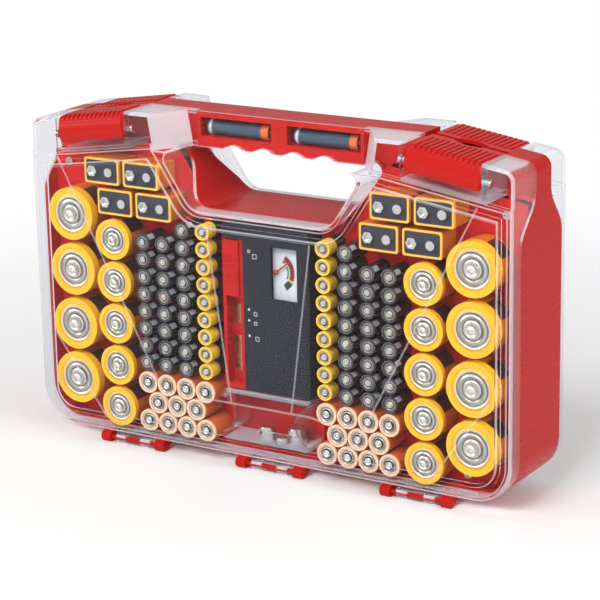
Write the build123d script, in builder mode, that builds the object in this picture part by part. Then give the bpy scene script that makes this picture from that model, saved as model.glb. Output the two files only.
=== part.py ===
"""Double-sided battery storage case: a red moulded case with a hand hole, a clear hinged lid on
each face, cells standing in a front tray, a removable tester and a coin cell box.

Frame: millimetres, +X right, front of the case towards -Y, +Z up. The origin is on the table,
under the middle of the case.
"""
from build123d import *
from math import atan2, cos, degrees, radians, sin, sqrt, tan
import os

os.makedirs("parts", exist_ok=True)

# ---------------------------------------------------------------- cells
D_RADIUS, D_LENGTH = 17.1, 61.5
C_RADIUS, C_LENGTH = 13.1, 50.0
AA_RADIUS, AA_LENGTH = 7.1, 50.5
AAA_RADIUS, AAA_LENGTH = 5.15, 44.5
NINE_WIDTH, NINE_HEIGHT, NINE_LENGTH = 26.5, 16.6, 46.4
nine_corner_radius = 1.6
nine_stud_radius = 2.9
nine_stud_height = 2.6
nine_stud_pitch = 12.7
nine_rim = 1.3
cap_share = 0.8  # radius of a cell's metal end disc, as a share of the cell's
cap_depth = 0.8

# ---------------------------------------------------------------- columns, from the middle outwards
tester_width = 63.0
yellow_step = 12.1  # from the tester's side to the first column of AAA cells
black_steps = (15.3, 15.4, 14.85)  # from each column of AAA cells to the next
c_step = 23.35
d_step = 32.4
side_step = 27.1  # from the D cells' column to the case's side
yellow_column = tester_width / 2 + yellow_step
black_columns = [yellow_column + sum(black_steps[: i + 1]) for i in range(len(black_steps))]
c_column = black_columns[-1] + c_step
d_column = c_column + d_step
half_width = d_column + side_step
case_width = 2 * half_width

# ---------------------------------------------------------------- levels, from the table upwards
case_foot = 10.0  # height of the case's bottom edge over the table
coin_box_lift = 9.5  # of the coin cell box over the case's bottom
coin_box_height = 32.0
tester_step = 1.1  # between the coin cell box and the tester
tester_height = 106.4
tester_head = 6.5  # between the tester and the hand hole's floor
hole_height = 35.5
handle_height = 22.5  # from the hole's roof to the case's top
coin_box_low = case_foot + coin_box_lift
coin_box_high = coin_box_low + coin_box_height
tester_low = coin_box_high + tester_step
tester_high = tester_low + tester_height
hole_floor = tester_high + tester_head
hole_roof = hole_floor + hole_height
case_top = hole_roof + handle_height

# ---------------------------------------------------------------- depths, from the lid's front backwards
cell_face = 4.3  # the cells' faces lie this far behind the lid's front
rear_room = 9.2  # from the longest cells' ends to the rear lid's back
case_depth = cell_face + D_LENGTH + rear_room
half_depth = case_depth / 2

# ---------------------------------------------------------------- case outline, seen from the front
bottom_corner_radius = 25.0
top_corner_radius = 7.0
top_slope = 8.5  # degrees that the top falls from the inner block to the outer corner

# ---------------------------------------------------------------- hand hole and handle bar
hole_side_angle = 56.3  # degrees of the hole's sides over the horizontal
hole_half_width = 61.4  # half width at mid height
hole_floor_radius = 14.0
hole_roof_radius = 5.0
handle_bar_half_width = 60.0
handle_bar_depth = 20.0
handle_cover_width = 62.0  # half width of the flat cover over the bar
handle_flare_width = 79.0  # half width where the cover meets the lid's front
handle_widening = 8.0  # of both, up to the top
finger_pitch = 22.0
finger_radius = 12.5
finger_depth = 2.8
finger_count = 4
handle_cell_x = 31.7
handle_cell_drop = 10.0  # of the cells in the handle under the case's top
handle_pocket_length, handle_pocket_depth, handle_pocket_height = 52.0, 12.0, 12.0

# ---------------------------------------------------------------- walls and clearances
red_wall = 2.5
clear_wall = 2.2
seat_gap = 0.3  # between pieces that close on each other
cell_gap = 0.4  # round a D or C cell in its hole
small_cell_gap = 0.15
running_gap = 0.08  # radial, at pins and rods
pin_gap = 0.05  # radial, round a pin in the lid's ears
drop_gap = 0.3  # round a piece that drops into its well

# ---------------------------------------------------------------- parting between case and lids
front_rim_depth, front_block_depth = 13.0, 32.2  # of the front lid's side, low down and at the top
rear_rim_depth, rear_block_depth = 7.5, 23.0  # the same of the rear lid, which is the flatter one
parting_drop_low = 53.5  # of the parting's lower bend under the case's top
parting_drop_high = 33.5
parting_radius = 16.0

# ---------------------------------------------------------------- lid front
panel_rise = 1.3  # the panel stands this far before its border
panel_border = 9.0
panel_taper = 30.0  # degrees
block_setback = 1.2  # the blocks' faces lie behind the border
lid_edge_radius = 2.6
lid_inner_radius = 0.6
lid_hole_radius = 1.2
bead_width = 1.0
bead_height = 0.3
rim_inset = 2.8  # of the stiffening rim on the lid's border
rim_width = 3.8
rim_height = 1.0
shoulder_drop = 18.5  # of the shoulder under the case's top, at shoulder_reference
shoulder_reference = 80.0

# ---------------------------------------------------------------- latches
latch_margin = 20.5  # from the case's side to the latch's pocket
latch_pocket_width = 52.5
latch_side_gap = 1.65
block_step = 0.5  # from the latch's pocket to the inner block's edge
latch_pin_drop = 15.85  # of the pin under the case's top
latch_pin_inset = 8.5  # of the pin behind the lid's front
latch_pin_radius = 1.6
latch_pin_head_radius = 2.7
latch_pin_head_length = 1.2
latch_pin_stand = 0.95  # of the pin's end past the pocket's wall
latch_hub_radius = 3.2
latch_reach = 27.0  # from the pin to the plate's far edge
latch_rise = 11.3
latch_plate = 2.4
latch_face_drop = 5.0
latch_lip = 1.2
latch_rib_count = 13
latch_rib_width = 1.7
latch_rib_height = 0.7
latch_rib_margin = 1.8  # from the ribs' ends to the scoop
latch_scoop_radius = 15.0
latch_scoop_depth = 4.0
latch_cheek_width = 1.8

# ---------------------------------------------------------------- bottom hinges
front_hinge_inset = 9.0  # of the hinge's axis behind the lid's front
rear_hinge_inset = 4.5
hinge_knuckle_radius = 3.3
hinge_rod_radius = 1.6
hinge_half_length = 24.5
hinge_knuckle_width = 7.0
hinge_clip_radius = 3.1
hinge_clip_width = 7.0
hinge_clip_offset = 9.5
hinge_spacing = 105.0
hinge_count = 3
foot_half_width = 1.6  # of the flat under each knuckle, which the case stands on

# ---------------------------------------------------------------- rows of cells: height over the case's foot
# of each column's lowest cell, its pitch, and the room that it leaves under the shoulder's height
d_lift, d_pitch, d_room = 32.0, 36.7, 52.0
c_lift, c_pitch, c_room = 17.1, 27.95, 64.0
aaa_pitch = 11.36
yellow_lift, yellow_room = 51.0, 52.5
black_lifts, black_rooms = (50.3, 50.8, 50.7), (52.5, 63.0, 63.0)
aa_step, aa_pitch = 12.7, 14.7  # from the coin cell box's side to the AA cells, and between them
aa_lift, aa_row_pitch = 11.6, 12.8
aa_row_counts = (4, 3, 4)
nine_drops = (40.7, 60.5)  # of the upper and the lower pair of nine volt cells under the case's top
nine_margins = ((52.6, 82.4), (61.1, 90.6))  # of their middles from the case's side
nine_setbacks = (0.8, 2.0)  # of their faces behind the other cells'

# ---------------------------------------------------------------- trays
deck_depth = 24.0  # the deck lies this far behind the lid's front
deck_thickness = 2.5
cell_collar = 6.0
cell_collar_wall = 0.9
tray_floor = 2.0
tray_inset = 2.8  # between the case's outline and the trays' edges
tray_wall = 1.4
ledge_width = 3.0
ledge_height = 155.0
ledge_lift = 19.5  # of the ledges' lower ends over the case's foot
screw_margins = (39.0, 14.0)  # from the case's side
screw_lift, screw_drop = 7.8, 41.5  # over the case's foot and under its top
screw_web = 10.0  # from the upper screw to the web's end
screw_length = 8.0
screw_sink = 1.2  # of the tester's screw heads
screw_slot_width, screw_slot_depth = 0.8, 0.8
rear_plate_depth = 20.2  # of the rear tray's plate before the rear lid's back
pan_depth = 6.0  # of the rear pan's floor before the plate
pan_edge = 7.2  # from the lowest rear cell's axis to the pan's edge
rear_cell_columns = 3
rear_cell_x_pitch, rear_cell_z_pitch = 53.6, 16.0
rear_cell_lift = 53.4  # of the lowest over the case's foot
rear_cell_room = 22.0  # over the highest, under the hand hole's floor
rear_end_room = 16.6  # from the outer cells' ends to the pan's wall
rear_divider = 1.4
rear_divider_height = 5.0
bump_inner_margin, bump_outer_margin = 46.2, 8.2
bump_lift, bump_drop = 13.0, 52.5
well_depth = 5.3  # of the tester's well, from the deck's face
push_hole_radius = 8.0
lug_width, lug_height, coin_lug_length = 1.2, 4.0, 26.0
neck_web = 5.6
neck_rise = 16.9  # the neck's top under a latch lies this far over the shoulder

# ---------------------------------------------------------------- tester
tester_face = 8.0  # its face lies this far behind the lid's front
tester_thickness = 21.0
tester_wall = 1.8
tester_edge_radius = 2.0
tester_back_thickness = 2.0
channel_width = 15.2
channel_cap = 9.5  # the housing's strip over the channel
channel_floor_depth = 9.0
channel_setback = 0.4
meter_x, meter_drop = 13.5, 28.0  # the meter's middle, from the case's middle and under the tester's top
meter_width, meter_height = 18.8, 33.0
dial_margin = 1.2
dial_thickness = 0.6
dial_depth = 5.0
needle_offset = 7.52  # of the needle's pivot from the meter's middle
needle_length = 13.0
needle_width = 0.9
needle_thickness = 0.5
needle_hub_radius = 1.6
needle_rest_angle = 38.0  # degrees over the horizontal
pivot_radius = 0.6
pivot_tail = 2.0
movement_radius = 6.0
movement_height = 26.4
slider_height = 36.0
slider_stand = 1.0
slider_ridges = 7
slider_ridge_pitch, slider_ridge_width, slider_ridge_height = 2.4, 1.0, 0.6
slider_gap = 0.3
channel_wall = 1.4
channel_lip, channel_lip_width = 1.6, 0.9
channel_foot = 3.0
contact_lifts = ((9.4, 32.4), (40.4, 53.4))  # over the tester's foot
contact_inset = 1.0
contact_thickness = 0.5
meter_step, meter_lip = 0.8, 0.8
needle_standoff = 1.6
movement_foot = 1.5
post_radius = 2.6
post_xs = (26.0, -10.0)
post_inset = 5.4  # of the posts from the tester's ends

# ---------------------------------------------------------------- coin cell box
coin_box_width = 64.0
coin_box_wall = 1.4
coin_box_radius = 2.0
coin_box_scoop = 9.0
coin_grip_radius = 12.5
coin_fence = 9.0
# x, depth behind the box's front, lift off its floor, diameter and thickness
coin_cell_places = (
    (-3.0, 8.7, 0.0, 11.6, 5.4),
    (-4.0, 8.2, 5.5, 9.5, 2.7),
    (8.6, 6.0, 0.0, 7.9, 3.6),
    (17.0, 11.6, 0.0, 11.6, 5.4),
    (16.4, 11.0, 5.5, 11.6, 4.2),
)

# ---------------------------------------------------------------- screws
screw_radius = 1.4
screw_head_radius = 2.6
screw_head_height = 1.6
boss_radius = 3.4

# ---------------------------------------------------------------- places worked out from the sizes
front = -half_depth
cell_front = front + cell_face
deck_front = front + deck_depth
deck_back = deck_front + deck_thickness
rear_plate = half_depth - rear_plate_depth
pan_floor = rear_plate - pan_depth
bump_face = cell_front + D_LENGTH
slope = tan(radians(top_slope))
hole_slope = tan(radians(hole_side_angle))
hole_middle = (hole_floor + hole_roof) / 2
shoulder_height = case_top - shoulder_drop
parting_bend_low = case_top - parting_drop_low
parting_bend_high = case_top - parting_drop_high
latch_pocket_outer = half_width - latch_margin
latch_pocket_inner = latch_pocket_outer - latch_pocket_width
inner_block_edge = latch_pocket_inner - block_step
latch_pin_x = (latch_pocket_inner + latch_pocket_outer) / 2
latch_pin_height = case_top - latch_pin_drop
latch_pin_depth = half_depth - latch_pin_inset
latch_length = latch_pocket_width - 2 * latch_side_gap
latch_pin_reach = latch_pocket_width / 2 + clear_wall + latch_pin_stand
handle_cell_height = case_top - handle_cell_drop
bar_front = -handle_bar_depth / 2
cover_front = bar_front - seat_gap - clear_wall
border_front = front + panel_rise
block_front = border_front + block_setback
front_hinge_depth = half_depth - front_hinge_inset
rear_hinge_depth = half_depth - rear_hinge_inset
hinge_centres = [(i - (hinge_count - 1) / 2) * hinge_spacing for i in range(hinge_count)]
# x, z and the height of the wall that they stand on
screw_places = (
    (half_width - screw_margins[0], case_foot + screw_lift, case_foot + 1.0),
    (half_width - screw_margins[1], case_top - screw_drop, case_top - screw_drop + screw_web),
)
ledge_middle = case_foot + ledge_lift + ledge_height / 2
coin_box_middle = (coin_box_low + coin_box_high) / 2


def facing(y):
    """The upright plane at depth y. Its first axis is +X, its second +Z, and it faces the front."""
    return Plane.XZ.offset(-y)


def top_at(x):
    """Height of the case's top edge at half width x."""
    return case_top - max(x - inner_block_edge, 0) * slope


def shoulder_at(x):
    """Height of the shoulder under the latches at half width x."""
    return shoulder_height - (x - shoulder_reference) * slope


def hole_side_at(z):
    """Half width of the hand hole at height z."""
    return hole_half_width + (z - hole_middle) / hole_slope


def near(points, x, z, reach=0.5):
    """The corners of a profile, in its own plane, that lie at half width x and height z."""
    return [p for p in points if abs(abs(p.X) - x) < reach and abs(p.Y - z) < reach]


def case_outline(y, inset=0.0):
    """The whole case seen from the front, at depth y, drawn in by inset."""
    with BuildSketch(facing(y)) as outline:
        with BuildLine():
            Polyline(
                (0, case_foot),
                (half_width, case_foot),
                (half_width, top_at(half_width)),
                (inner_block_edge, case_top),
                (0, case_top),
                close=True,
            )
        make_face()
        mirror(about=Plane.YZ)
        corners = outline.vertices()
        fillet(near(corners, half_width, case_foot), bottom_corner_radius)
        fillet(near(outline.vertices(), half_width, top_at(half_width)), top_corner_radius)
        if inset:
            offset(amount=-inset, kind=Kind.INTERSECTION)
    return outline.sketch


def hand_hole(y, outset=0.0):
    """The hand hole seen from the front, with its finger waves, grown by outset."""
    floor_half, roof_half = hole_side_at(hole_floor), hole_side_at(hole_roof)
    with BuildSketch(facing(y)) as hole:
        with BuildLine():
            Polyline(
                (0, hole_floor), (floor_half, hole_floor), (roof_half, hole_roof), (0, hole_roof), close=True
            )
        make_face()
        mirror(about=Plane.YZ)
        fillet(near(hole.vertices(), floor_half, hole_floor), hole_floor_radius)
        fillet(near(hole.vertices(), roof_half, hole_roof), hole_roof_radius)
        fingers = [
            ((i - (finger_count - 1) / 2) * finger_pitch, hole_roof + finger_depth - finger_radius)
            for i in range(finger_count)
        ]
        with Locations(*fingers):
            Circle(finger_radius)
        if outset:
            offset(amount=outset, kind=Kind.INTERSECTION)
    return hole.sketch


def panel_outline(y, inset=0.0):
    """The battery compartment seen from the front: under the shoulders and round the hand hole."""
    meet = (shoulder_height + shoulder_reference * slope + (hole_middle / hole_slope - hole_half_width) * slope)
    meet_height = meet / (1 + slope / hole_slope)
    floor_half, meet_half = hole_side_at(hole_floor), hole_side_at(meet_height)
    with BuildSketch(facing(y)) as panel:
        with BuildLine():
            Polyline(
                (0, case_foot),
                (half_width, case_foot),
                (half_width, shoulder_at(half_width)),
                (meet_half, meet_height),
                (floor_half, hole_floor),
                (0, hole_floor),
                close=True,
            )
        make_face()
        mirror(about=Plane.YZ)
        fillet(near(panel.vertices(), half_width, case_foot), bottom_corner_radius)
        fillet(near(panel.vertices(), floor_half, hole_floor), hole_floor_radius)
        if inset:
            offset(amount=-inset, kind=Kind.INTERSECTION)
    return panel.sketch


def before_parting(rim_depth, block_depth, gap):
    """The space before the line at which a lid meets the case, moved forward by gap."""
    low, high = front + rim_depth - gap, front + block_depth - gap
    with BuildPart() as space:
        with BuildSketch(Plane.YZ.offset(-case_width)) as side:
            with BuildLine():
                Polyline(
                    (2 * front, -case_foot),
                    (low, -case_foot),
                    (low, parting_bend_low),
                    (high, parting_bend_high),
                    (high, 2 * case_top),
                    (2 * front, 2 * case_top),
                    close=True,
                )
            make_face()
            bends = [v for v in side.vertices() if 0 < v.Y < 1.5 * case_top and v.X > front]
            fillet(bends, parting_radius)
        extrude(amount=2 * case_width)
    return space.part


def handle_recess(inset):
    """The space before the handle's cover, between the two inner blocks, grown by inset."""
    flare = (handle_flare_width - handle_cover_width) / (cover_front - front)
    depth = front - case_depth / 10
    cover = cover_front + inset
    spread = handle_cover_width + inset * (sqrt(1 + flare**2) - flare)
    with BuildPart() as space:
        for z, widening in ((hole_roof - 0.01, 0.0), (case_top * 1.1, handle_widening)):
            half = spread + widening
            with BuildSketch(Plane.XY.offset(z)):
                with BuildLine():
                    Polyline(
                        (-half, cover),
                        (half, cover),
                        (half + (cover - depth) * flare, depth),
                        (-half - (cover - depth) * flare, depth),
                        close=True,
                    )
                make_face()
        loft(ruled=True)
    return space.part


def latch_frame(side):
    """The latch's own frame: X along the pin, towards the outer corner, and Z off the sloping top."""
    return Plane(
        origin=(side * latch_pin_x, -latch_pin_depth, latch_pin_height),
        x_dir=(side * cos(radians(top_slope)), 0, -sin(radians(top_slope))),
        z_dir=(side * sin(radians(top_slope)), 0, cos(radians(top_slope))),
    )


def latch_pocket(widening, lowering):
    """The two open pockets that the front latches lie in: wider and deeper by so much."""
    inner, outer = latch_pocket_inner - widening, latch_pocket_outer + widening
    with BuildPart() as pockets:
        with BuildSketch(facing(half_depth)) as pocket:
            with BuildLine():
                Polyline(
                    (inner, shoulder_at(inner) - lowering),
                    (outer, shoulder_at(outer) - lowering),
                    (outer, case_top * 1.2),
                    (inner, case_top * 1.2),
                    close=True,
                )
            make_face()
            mirror(about=Plane.YZ)
        extrude(amount=2 * case_depth)
    return pockets.part


def over_shoulder(lowering):
    """All that lies over the shoulder line, the line lowered by so much."""
    with BuildPart() as space:
        with BuildSketch(facing(half_depth)):
            with BuildLine():
                Polyline(
                    (0, shoulder_at(0) - lowering),
                    (case_width, shoulder_at(case_width) - lowering),
                    (case_width, 2 * case_top),
                    (0, 2 * case_top),
                    close=True,
                )
            make_face()
            mirror(about=Plane.YZ)
        extrude(amount=2 * case_depth)
    return space.part


def plate(face, inset):
    """The case's outline from its middle plane forward to face, drawn in by inset, its edge rounded."""
    with BuildPart() as block:
        extrude(case_outline(0, inset), amount=-face - inset)
        rim = block.faces().sort_by(Axis.Y)[0].outer_wire().edges()
        fillet(rim, lid_inner_radius if inset else lid_edge_radius)
    return block.part


def lid_form(inset, rim_depth, block_depth):
    """The space that a lid takes up, drawn in by inset: the lid is one less the other."""
    with BuildPart() as form:
        add(plate(border_front, inset))
        add(over_shoulder(inset), mode=Mode.SUBTRACT)
        add(plate(block_front, inset))
        extrude(hand_hole(half_depth, inset), amount=2 * case_depth, mode=Mode.SUBTRACT)
        add(before_parting(rim_depth, block_depth, 0), mode=Mode.INTERSECT)
        add(handle_recess(inset), mode=Mode.SUBTRACT)
        add(latch_pocket(inset, inset), mode=Mode.SUBTRACT)
        if not inset:
            with Locations((0, bar_front - seat_gap, hole_middle)):
                Box(
                    2 * (handle_bar_half_width + seat_gap), case_depth, case_top,
                    align=(Align.CENTER, Align.MIN, Align.MIN), mode=Mode.SUBTRACT,
                )
    return form.part


# ================================================================ lids
def crease_lines():
    """The fine raised lines on the lid's panel, as pairs of ends on its right half."""
    corner = (c_column - 47.0, case_foot + 18.0)
    bend = (corner[0] - 11.5, corner[1] + 13.5)
    inner = (bend[0] - 18.0, bend[1] + 3.5)
    return [
        ((half_width - 22.0, shoulder_height - 15.0), corner),
        (corner, bend),
        (bend, inner),
        (inner, (0.0, inner[1])),
        ((tester_width / 2 + 5.7, tester_high - 5.0), (22.0, inner[1])),
        ((half_width - 14.0, case_foot + 63.0), (half_width - 52.0, case_foot + 10.5)),
    ]


def hole_edges(part):
    """The edges of the hand hole in the lid's border."""
    border = [f for f in part.faces().filter_by(Axis.Y) if abs(f.center().Y - border_front) < 0.01][0]
    widest = hole_side_at(hole_roof) + panel_border
    return [
        e
        for e in border.outer_wire().edges()
        if hole_floor - 0.5 < e.center().Z and e.bounding_box().max.Z < hole_roof + 0.1
        and abs(e.center().X) < widest
    ]


def lid(rim_depth, block_depth, hinge_depth):
    """A clear lid as it lies on the front of the case."""
    with BuildPart() as shell:
        add(lid_form(0, rim_depth, block_depth))
        fillet(hole_edges(shell.part), lid_hole_radius)
        add(lid_form(clear_wall, rim_depth, block_depth), mode=Mode.SUBTRACT)
        # stiffening rim round the border, then the panel inside it
        extrude(panel_outline(border_front, rim_inset), amount=rim_height, taper=panel_taper)
        extrude(panel_outline(border_front, rim_inset + rim_width), amount=rim_height, mode=Mode.SUBTRACT)
        extrude(panel_outline(border_front, panel_border), amount=panel_rise, taper=panel_taper)
        extrude(
            panel_outline(border_front + clear_wall + seat_gap, panel_border + clear_wall),
            amount=panel_rise + seat_gap,
            mode=Mode.SUBTRACT,
        )
        for start, end in crease_lines():
            for side in (1, -1):
                run, rise = side * (end[0] - start[0]), end[1] - start[1]
                middle = (side * (start[0] + end[0]) / 2, (start[1] + end[1]) / 2)
                with BuildSketch(facing(front + 0.1)):
                    with Locations(middle):
                        SlotOverall(
                            sqrt(run**2 + rise**2) + bead_width, bead_width, rotation=degrees(atan2(rise, run))
                        )
                extrude(amount=bead_height + 0.1)
        # ears: the pins' holes through the pockets' side walls
        for side in (1, -1):
            with Locations(latch_frame(side)):
                Cylinder(
                    latch_pin_radius + pin_gap, 2 * latch_pin_reach, rotation=(0, 90, 0), mode=Mode.SUBTRACT
                )
        # clips that ride on the case's hinge rods
        for centre in hinge_centres:
            for offset_x in (-hinge_clip_offset, hinge_clip_offset):
                with Locations((centre + offset_x, -hinge_depth, hinge_knuckle_radius)):
                    Cylinder(hinge_clip_radius, hinge_clip_width, rotation=(0, 90, 0))
                    Box(
                        hinge_clip_width, 1.1 * hinge_clip_radius, case_foot - hinge_knuckle_radius + clear_wall / 2,
                        align=(Align.CENTER, Align.CENTER, Align.MIN),
                    )
                    Cylinder(
                        hinge_rod_radius + running_gap, 1.5 * hinge_clip_width, rotation=(0, 90, 0),
                        mode=Mode.SUBTRACT,
                    )
                    Box(
                        1.5 * hinge_clip_width, 1.7 * hinge_rod_radius, 2 * hinge_clip_radius,
                        align=(Align.CENTER, Align.CENTER, Align.MAX), mode=Mode.SUBTRACT,
                    )
    return shell.part


front_lid = lid(front_rim_depth, front_block_depth, front_hinge_depth)
front_lid.label = "front_lid"
export_step(front_lid, "parts/front_lid.step")

rear_lid = mirror(lid(rear_rim_depth, rear_block_depth, rear_hinge_depth), about=Plane.XZ)
rear_lid.label = "rear_lid"
export_step(rear_lid, "parts/rear_lid.step")


# ================================================================ latches
def latch_section(x):
    """The latch's bent section, drawn round the pin at distance x along it."""
    with BuildSketch(Plane.YZ.offset(x)) as section:
        with BuildLine():
            Polyline(
                (-5.2 + latch_plate - 0.2, -latch_face_drop),
                (-5.2, -latch_face_drop),
            )
            ThreePointArc((-5.2, -latch_face_drop), (-6.4, 1.0), (-5.2, 6.5))
            ThreePointArc((-5.2, 6.5), (-3.6, 9.6), (-0.5, latch_rise))
            Polyline(
                (-0.5, latch_rise),
                (latch_reach, latch_rise),
                (latch_reach, latch_rise - latch_plate - latch_lip),
                (latch_reach - latch_lip - 0.8, latch_rise - latch_plate - latch_lip),
                (latch_reach - latch_lip - 0.8, latch_rise - latch_plate),
                (2.5, latch_rise - latch_plate),
            )
            ThreePointArc((2.5, latch_rise - latch_plate), (-1.2, 7.4), (-2.8, 4.0))
            Line((-2.8, 4.0), (-5.2 + latch_plate - 0.2, -latch_face_drop))
        make_face()
    return section.sketch


def latch_cheek(x):
    """The web at a latch's end that carries the pin's bore."""
    with BuildSketch(Plane.YZ.offset(x)) as cheek:
        with BuildLine():
            Polyline(
                (-4.6, -latch_face_drop + 0.5),
                (0.6, -latch_hub_radius),
                (latch_hub_radius, 0),
                (latch_hub_radius, latch_rise - latch_plate + 0.6),
                (-2.6, latch_rise - latch_plate + 0.6),
                (-5.0, 5.0),
                close=True,
            )
        make_face()
    return cheek.sketch


with BuildPart() as latch_form:
    extrude(latch_section(-latch_length / 2), amount=latch_length)
    Cylinder(latch_hub_radius, latch_length, rotation=(0, 90, 0))
    extrude(latch_cheek(-latch_length / 2), amount=latch_cheek_width)
    extrude(latch_cheek(latch_length / 2), amount=-latch_cheek_width)
    extrude(latch_cheek(-latch_cheek_width / 2), amount=latch_cheek_width)
    # grip ribs along the plate, from its rounded edge to before the finger scoop
    rib_pitch = (latch_length - 4 * latch_rib_width) / (latch_rib_count - 1)
    rib_end = latch_reach - latch_scoop_depth - latch_rib_margin
    for i in range(latch_rib_count):
        x = (i - (latch_rib_count - 1) / 2) * rib_pitch
        with BuildSketch(Plane.YZ.offset(x - latch_rib_width / 2)) as rib:
            with BuildLine():
                ThreePointArc((-4.8, 7.4), (-3.9, 10.3), (-0.5, latch_rise + latch_rib_height))
                Polyline(
                    (-0.5, latch_rise + latch_rib_height),
                    (rib_end - latch_rib_height, latch_rise + latch_rib_height),
                    (rib_end, latch_rise - 0.4),
                    (0.5, latch_rise - 0.4),
                    (-3.0, 7.5),
                    (-4.8, 7.4),
                )
            make_face()
        extrude(rib.sketch, amount=latch_rib_width)
    # finger scoop in the plate's far edge
    with Locations((0, latch_reach + latch_scoop_radius - latch_scoop_depth, latch_rise)):
        Cylinder(latch_scoop_radius, 4 * latch_plate, mode=Mode.SUBTRACT)
    Cylinder(latch_pin_radius + running_gap, 2 * latch_length, rotation=(0, 90, 0), mode=Mode.SUBTRACT)

front_latch_right = latch_frame(1).location * latch_form.part
front_latch_right.label = "front_latch_right"
export_step(front_latch_right, "parts/front_latch_right.step")

front_latch_left = mirror(front_latch_right, about=Plane.YZ)
front_latch_left.label = "front_latch_left"
export_step(front_latch_left, "parts/front_latch_left.step")

rear_latch_right = mirror(front_latch_right, about=Plane.XZ)
rear_latch_right.label = "rear_latch_right"
export_step(rear_latch_right, "parts/rear_latch_right.step")

rear_latch_left = mirror(front_latch_left, about=Plane.XZ)
rear_latch_left.label = "rear_latch_left"
export_step(rear_latch_left, "parts/rear_latch_left.step")

with BuildPart() as front_latch_pins:
    for side in (1, -1):
        with Locations(latch_frame(side)):
            Cylinder(latch_pin_radius, 2 * latch_pin_reach, rotation=(0, 90, 0))
        for end in (1, -1):
            with Locations(latch_frame(side) * Location((end * (latch_pin_reach + latch_pin_head_length / 2), 0, 0))):
                Cylinder(latch_pin_head_radius, latch_pin_head_length, rotation=(0, 90, 0))
front_latch_pins.part.label = "front_latch_pins"
export_step(front_latch_pins.part, "parts/front_latch_pins.step")

rear_latch_pins = mirror(front_latch_pins.part, about=Plane.XZ)
rear_latch_pins.label = "rear_latch_pins"
export_step(rear_latch_pins, "parts/rear_latch_pins.step")


# ================================================================ case body
def neck_recess():
    """The moulding's hollow before the neck's web, between the hand hole and the top edge."""
    web_front = -neck_web / 2
    amount = case_depth
    with BuildPart() as recess:
        extrude(case_outline(web_front, red_wall), amount=amount)
        extrude(hand_hole(web_front, red_wall), amount=amount, mode=Mode.SUBTRACT)
        extrude(panel_outline(web_front, 0), amount=amount, mode=Mode.SUBTRACT)
        add(latch_pocket(seat_gap + red_wall, red_wall - neck_rise), mode=Mode.SUBTRACT)
        with Locations((0, 0, hole_middle)):
            Box(
                2 * (handle_bar_half_width + red_wall), 2 * case_depth, case_top,
                align=(Align.CENTER, Align.CENTER, Align.MIN), mode=Mode.SUBTRACT,
            )
    return recess.part


def hinge_arm(x, axis_depth, rim_depth):
    """The arm that holds a hinge rod off the case's bottom."""
    root = front + rim_depth + seat_gap + 0.4
    with BuildSketch(Plane.YZ.offset(x)) as arm:
        with BuildLine():
            Polyline(
                (-axis_depth - foot_half_width, 0),
                (-axis_depth + foot_half_width, 0),
                (root + 12.5, case_foot + 0.5),
                (root, case_foot + 0.5),
                (root, case_foot - 1.2),
                (-axis_depth, 2 * hinge_knuckle_radius),
                close=True,
            )
        make_face()
    return arm.sketch


def hinge_side(axis_depth, rim_depth):
    """One side's hinges: knuckles, arms and rods."""
    with BuildPart() as hinges:
        for centre in hinge_centres:
            for start in (-hinge_half_length, hinge_half_length - hinge_knuckle_width):
                extrude(hinge_arm(centre + start, axis_depth, rim_depth), amount=hinge_knuckle_width)
                with Locations((centre + start + hinge_knuckle_width / 2, -axis_depth, hinge_knuckle_radius)):
                    Cylinder(hinge_knuckle_radius, hinge_knuckle_width, rotation=(0, 90, 0))
            with Locations((centre, -axis_depth, hinge_knuckle_radius)):
                Cylinder(hinge_rod_radius, 2 * hinge_half_length, rotation=(0, 90, 0))
    return hinges.part


with BuildPart() as case_body:
    extrude(case_outline(0), amount=half_depth, both=True)
    add(before_parting(front_rim_depth, front_block_depth, -seat_gap), mode=Mode.SUBTRACT)
    rear_opening = before_parting(rear_rim_depth, rear_block_depth, -seat_gap)
    add(mirror(rear_opening, about=Plane.XZ), mode=Mode.SUBTRACT)
    recess = neck_recess()
    add(recess, mode=Mode.SUBTRACT)
    add(mirror(recess, about=Plane.XZ), mode=Mode.SUBTRACT)
    extrude(panel_outline(half_depth, red_wall), amount=case_depth, mode=Mode.SUBTRACT)
    add(latch_pocket(seat_gap, -neck_rise), mode=Mode.SUBTRACT)
    # handle bar
    with Locations((0, 0, case_top)):
        Box(
            2 * handle_bar_half_width, handle_bar_depth, case_top - hole_roof + 1,
            align=(Align.CENTER, Align.CENTER, Align.MAX),
        )
    extrude(hand_hole(half_depth), amount=case_depth, mode=Mode.SUBTRACT)
    for x in (-handle_cell_x, handle_cell_x):
        with Locations((x, bar_front, handle_cell_height)):
            Box(handle_pocket_length, 2 * handle_pocket_depth, handle_pocket_height, mode=Mode.SUBTRACT)
    # hinges
    add(hinge_side(front_hinge_depth, front_rim_depth))
    add(mirror(hinge_side(rear_hinge_depth, rear_rim_depth), about=Plane.XZ))
    # ledges that the trays lie on
    for side in (1, -1):
        x = side * (half_width - red_wall - ledge_width / 2)
        with Locations((x, deck_back + ledge_width / 2, ledge_middle), (x, rear_plate - ledge_width / 2, ledge_middle)):
            Box(ledge_width, ledge_width, ledge_height)
        for boss_x, boss_z, foot in screw_places:
            with Locations((side * boss_x, deck_back, boss_z)):
                Cylinder(
                    boss_radius, rear_plate - deck_back, rotation=(-90, 0, 0),
                    align=(Align.CENTER, Align.CENTER, Align.MIN),
                )
            with Locations((side * boss_x, (deck_back + rear_plate) / 2, (boss_z + foot) / 2)):
                Box(red_wall, rear_plate - deck_back, abs(foot - boss_z))
            with Locations((side * boss_x, (deck_back + rear_plate) / 2, boss_z)):
                Cylinder(screw_radius + pin_gap, case_depth, rotation=(90, 0, 0), mode=Mode.SUBTRACT)
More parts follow.
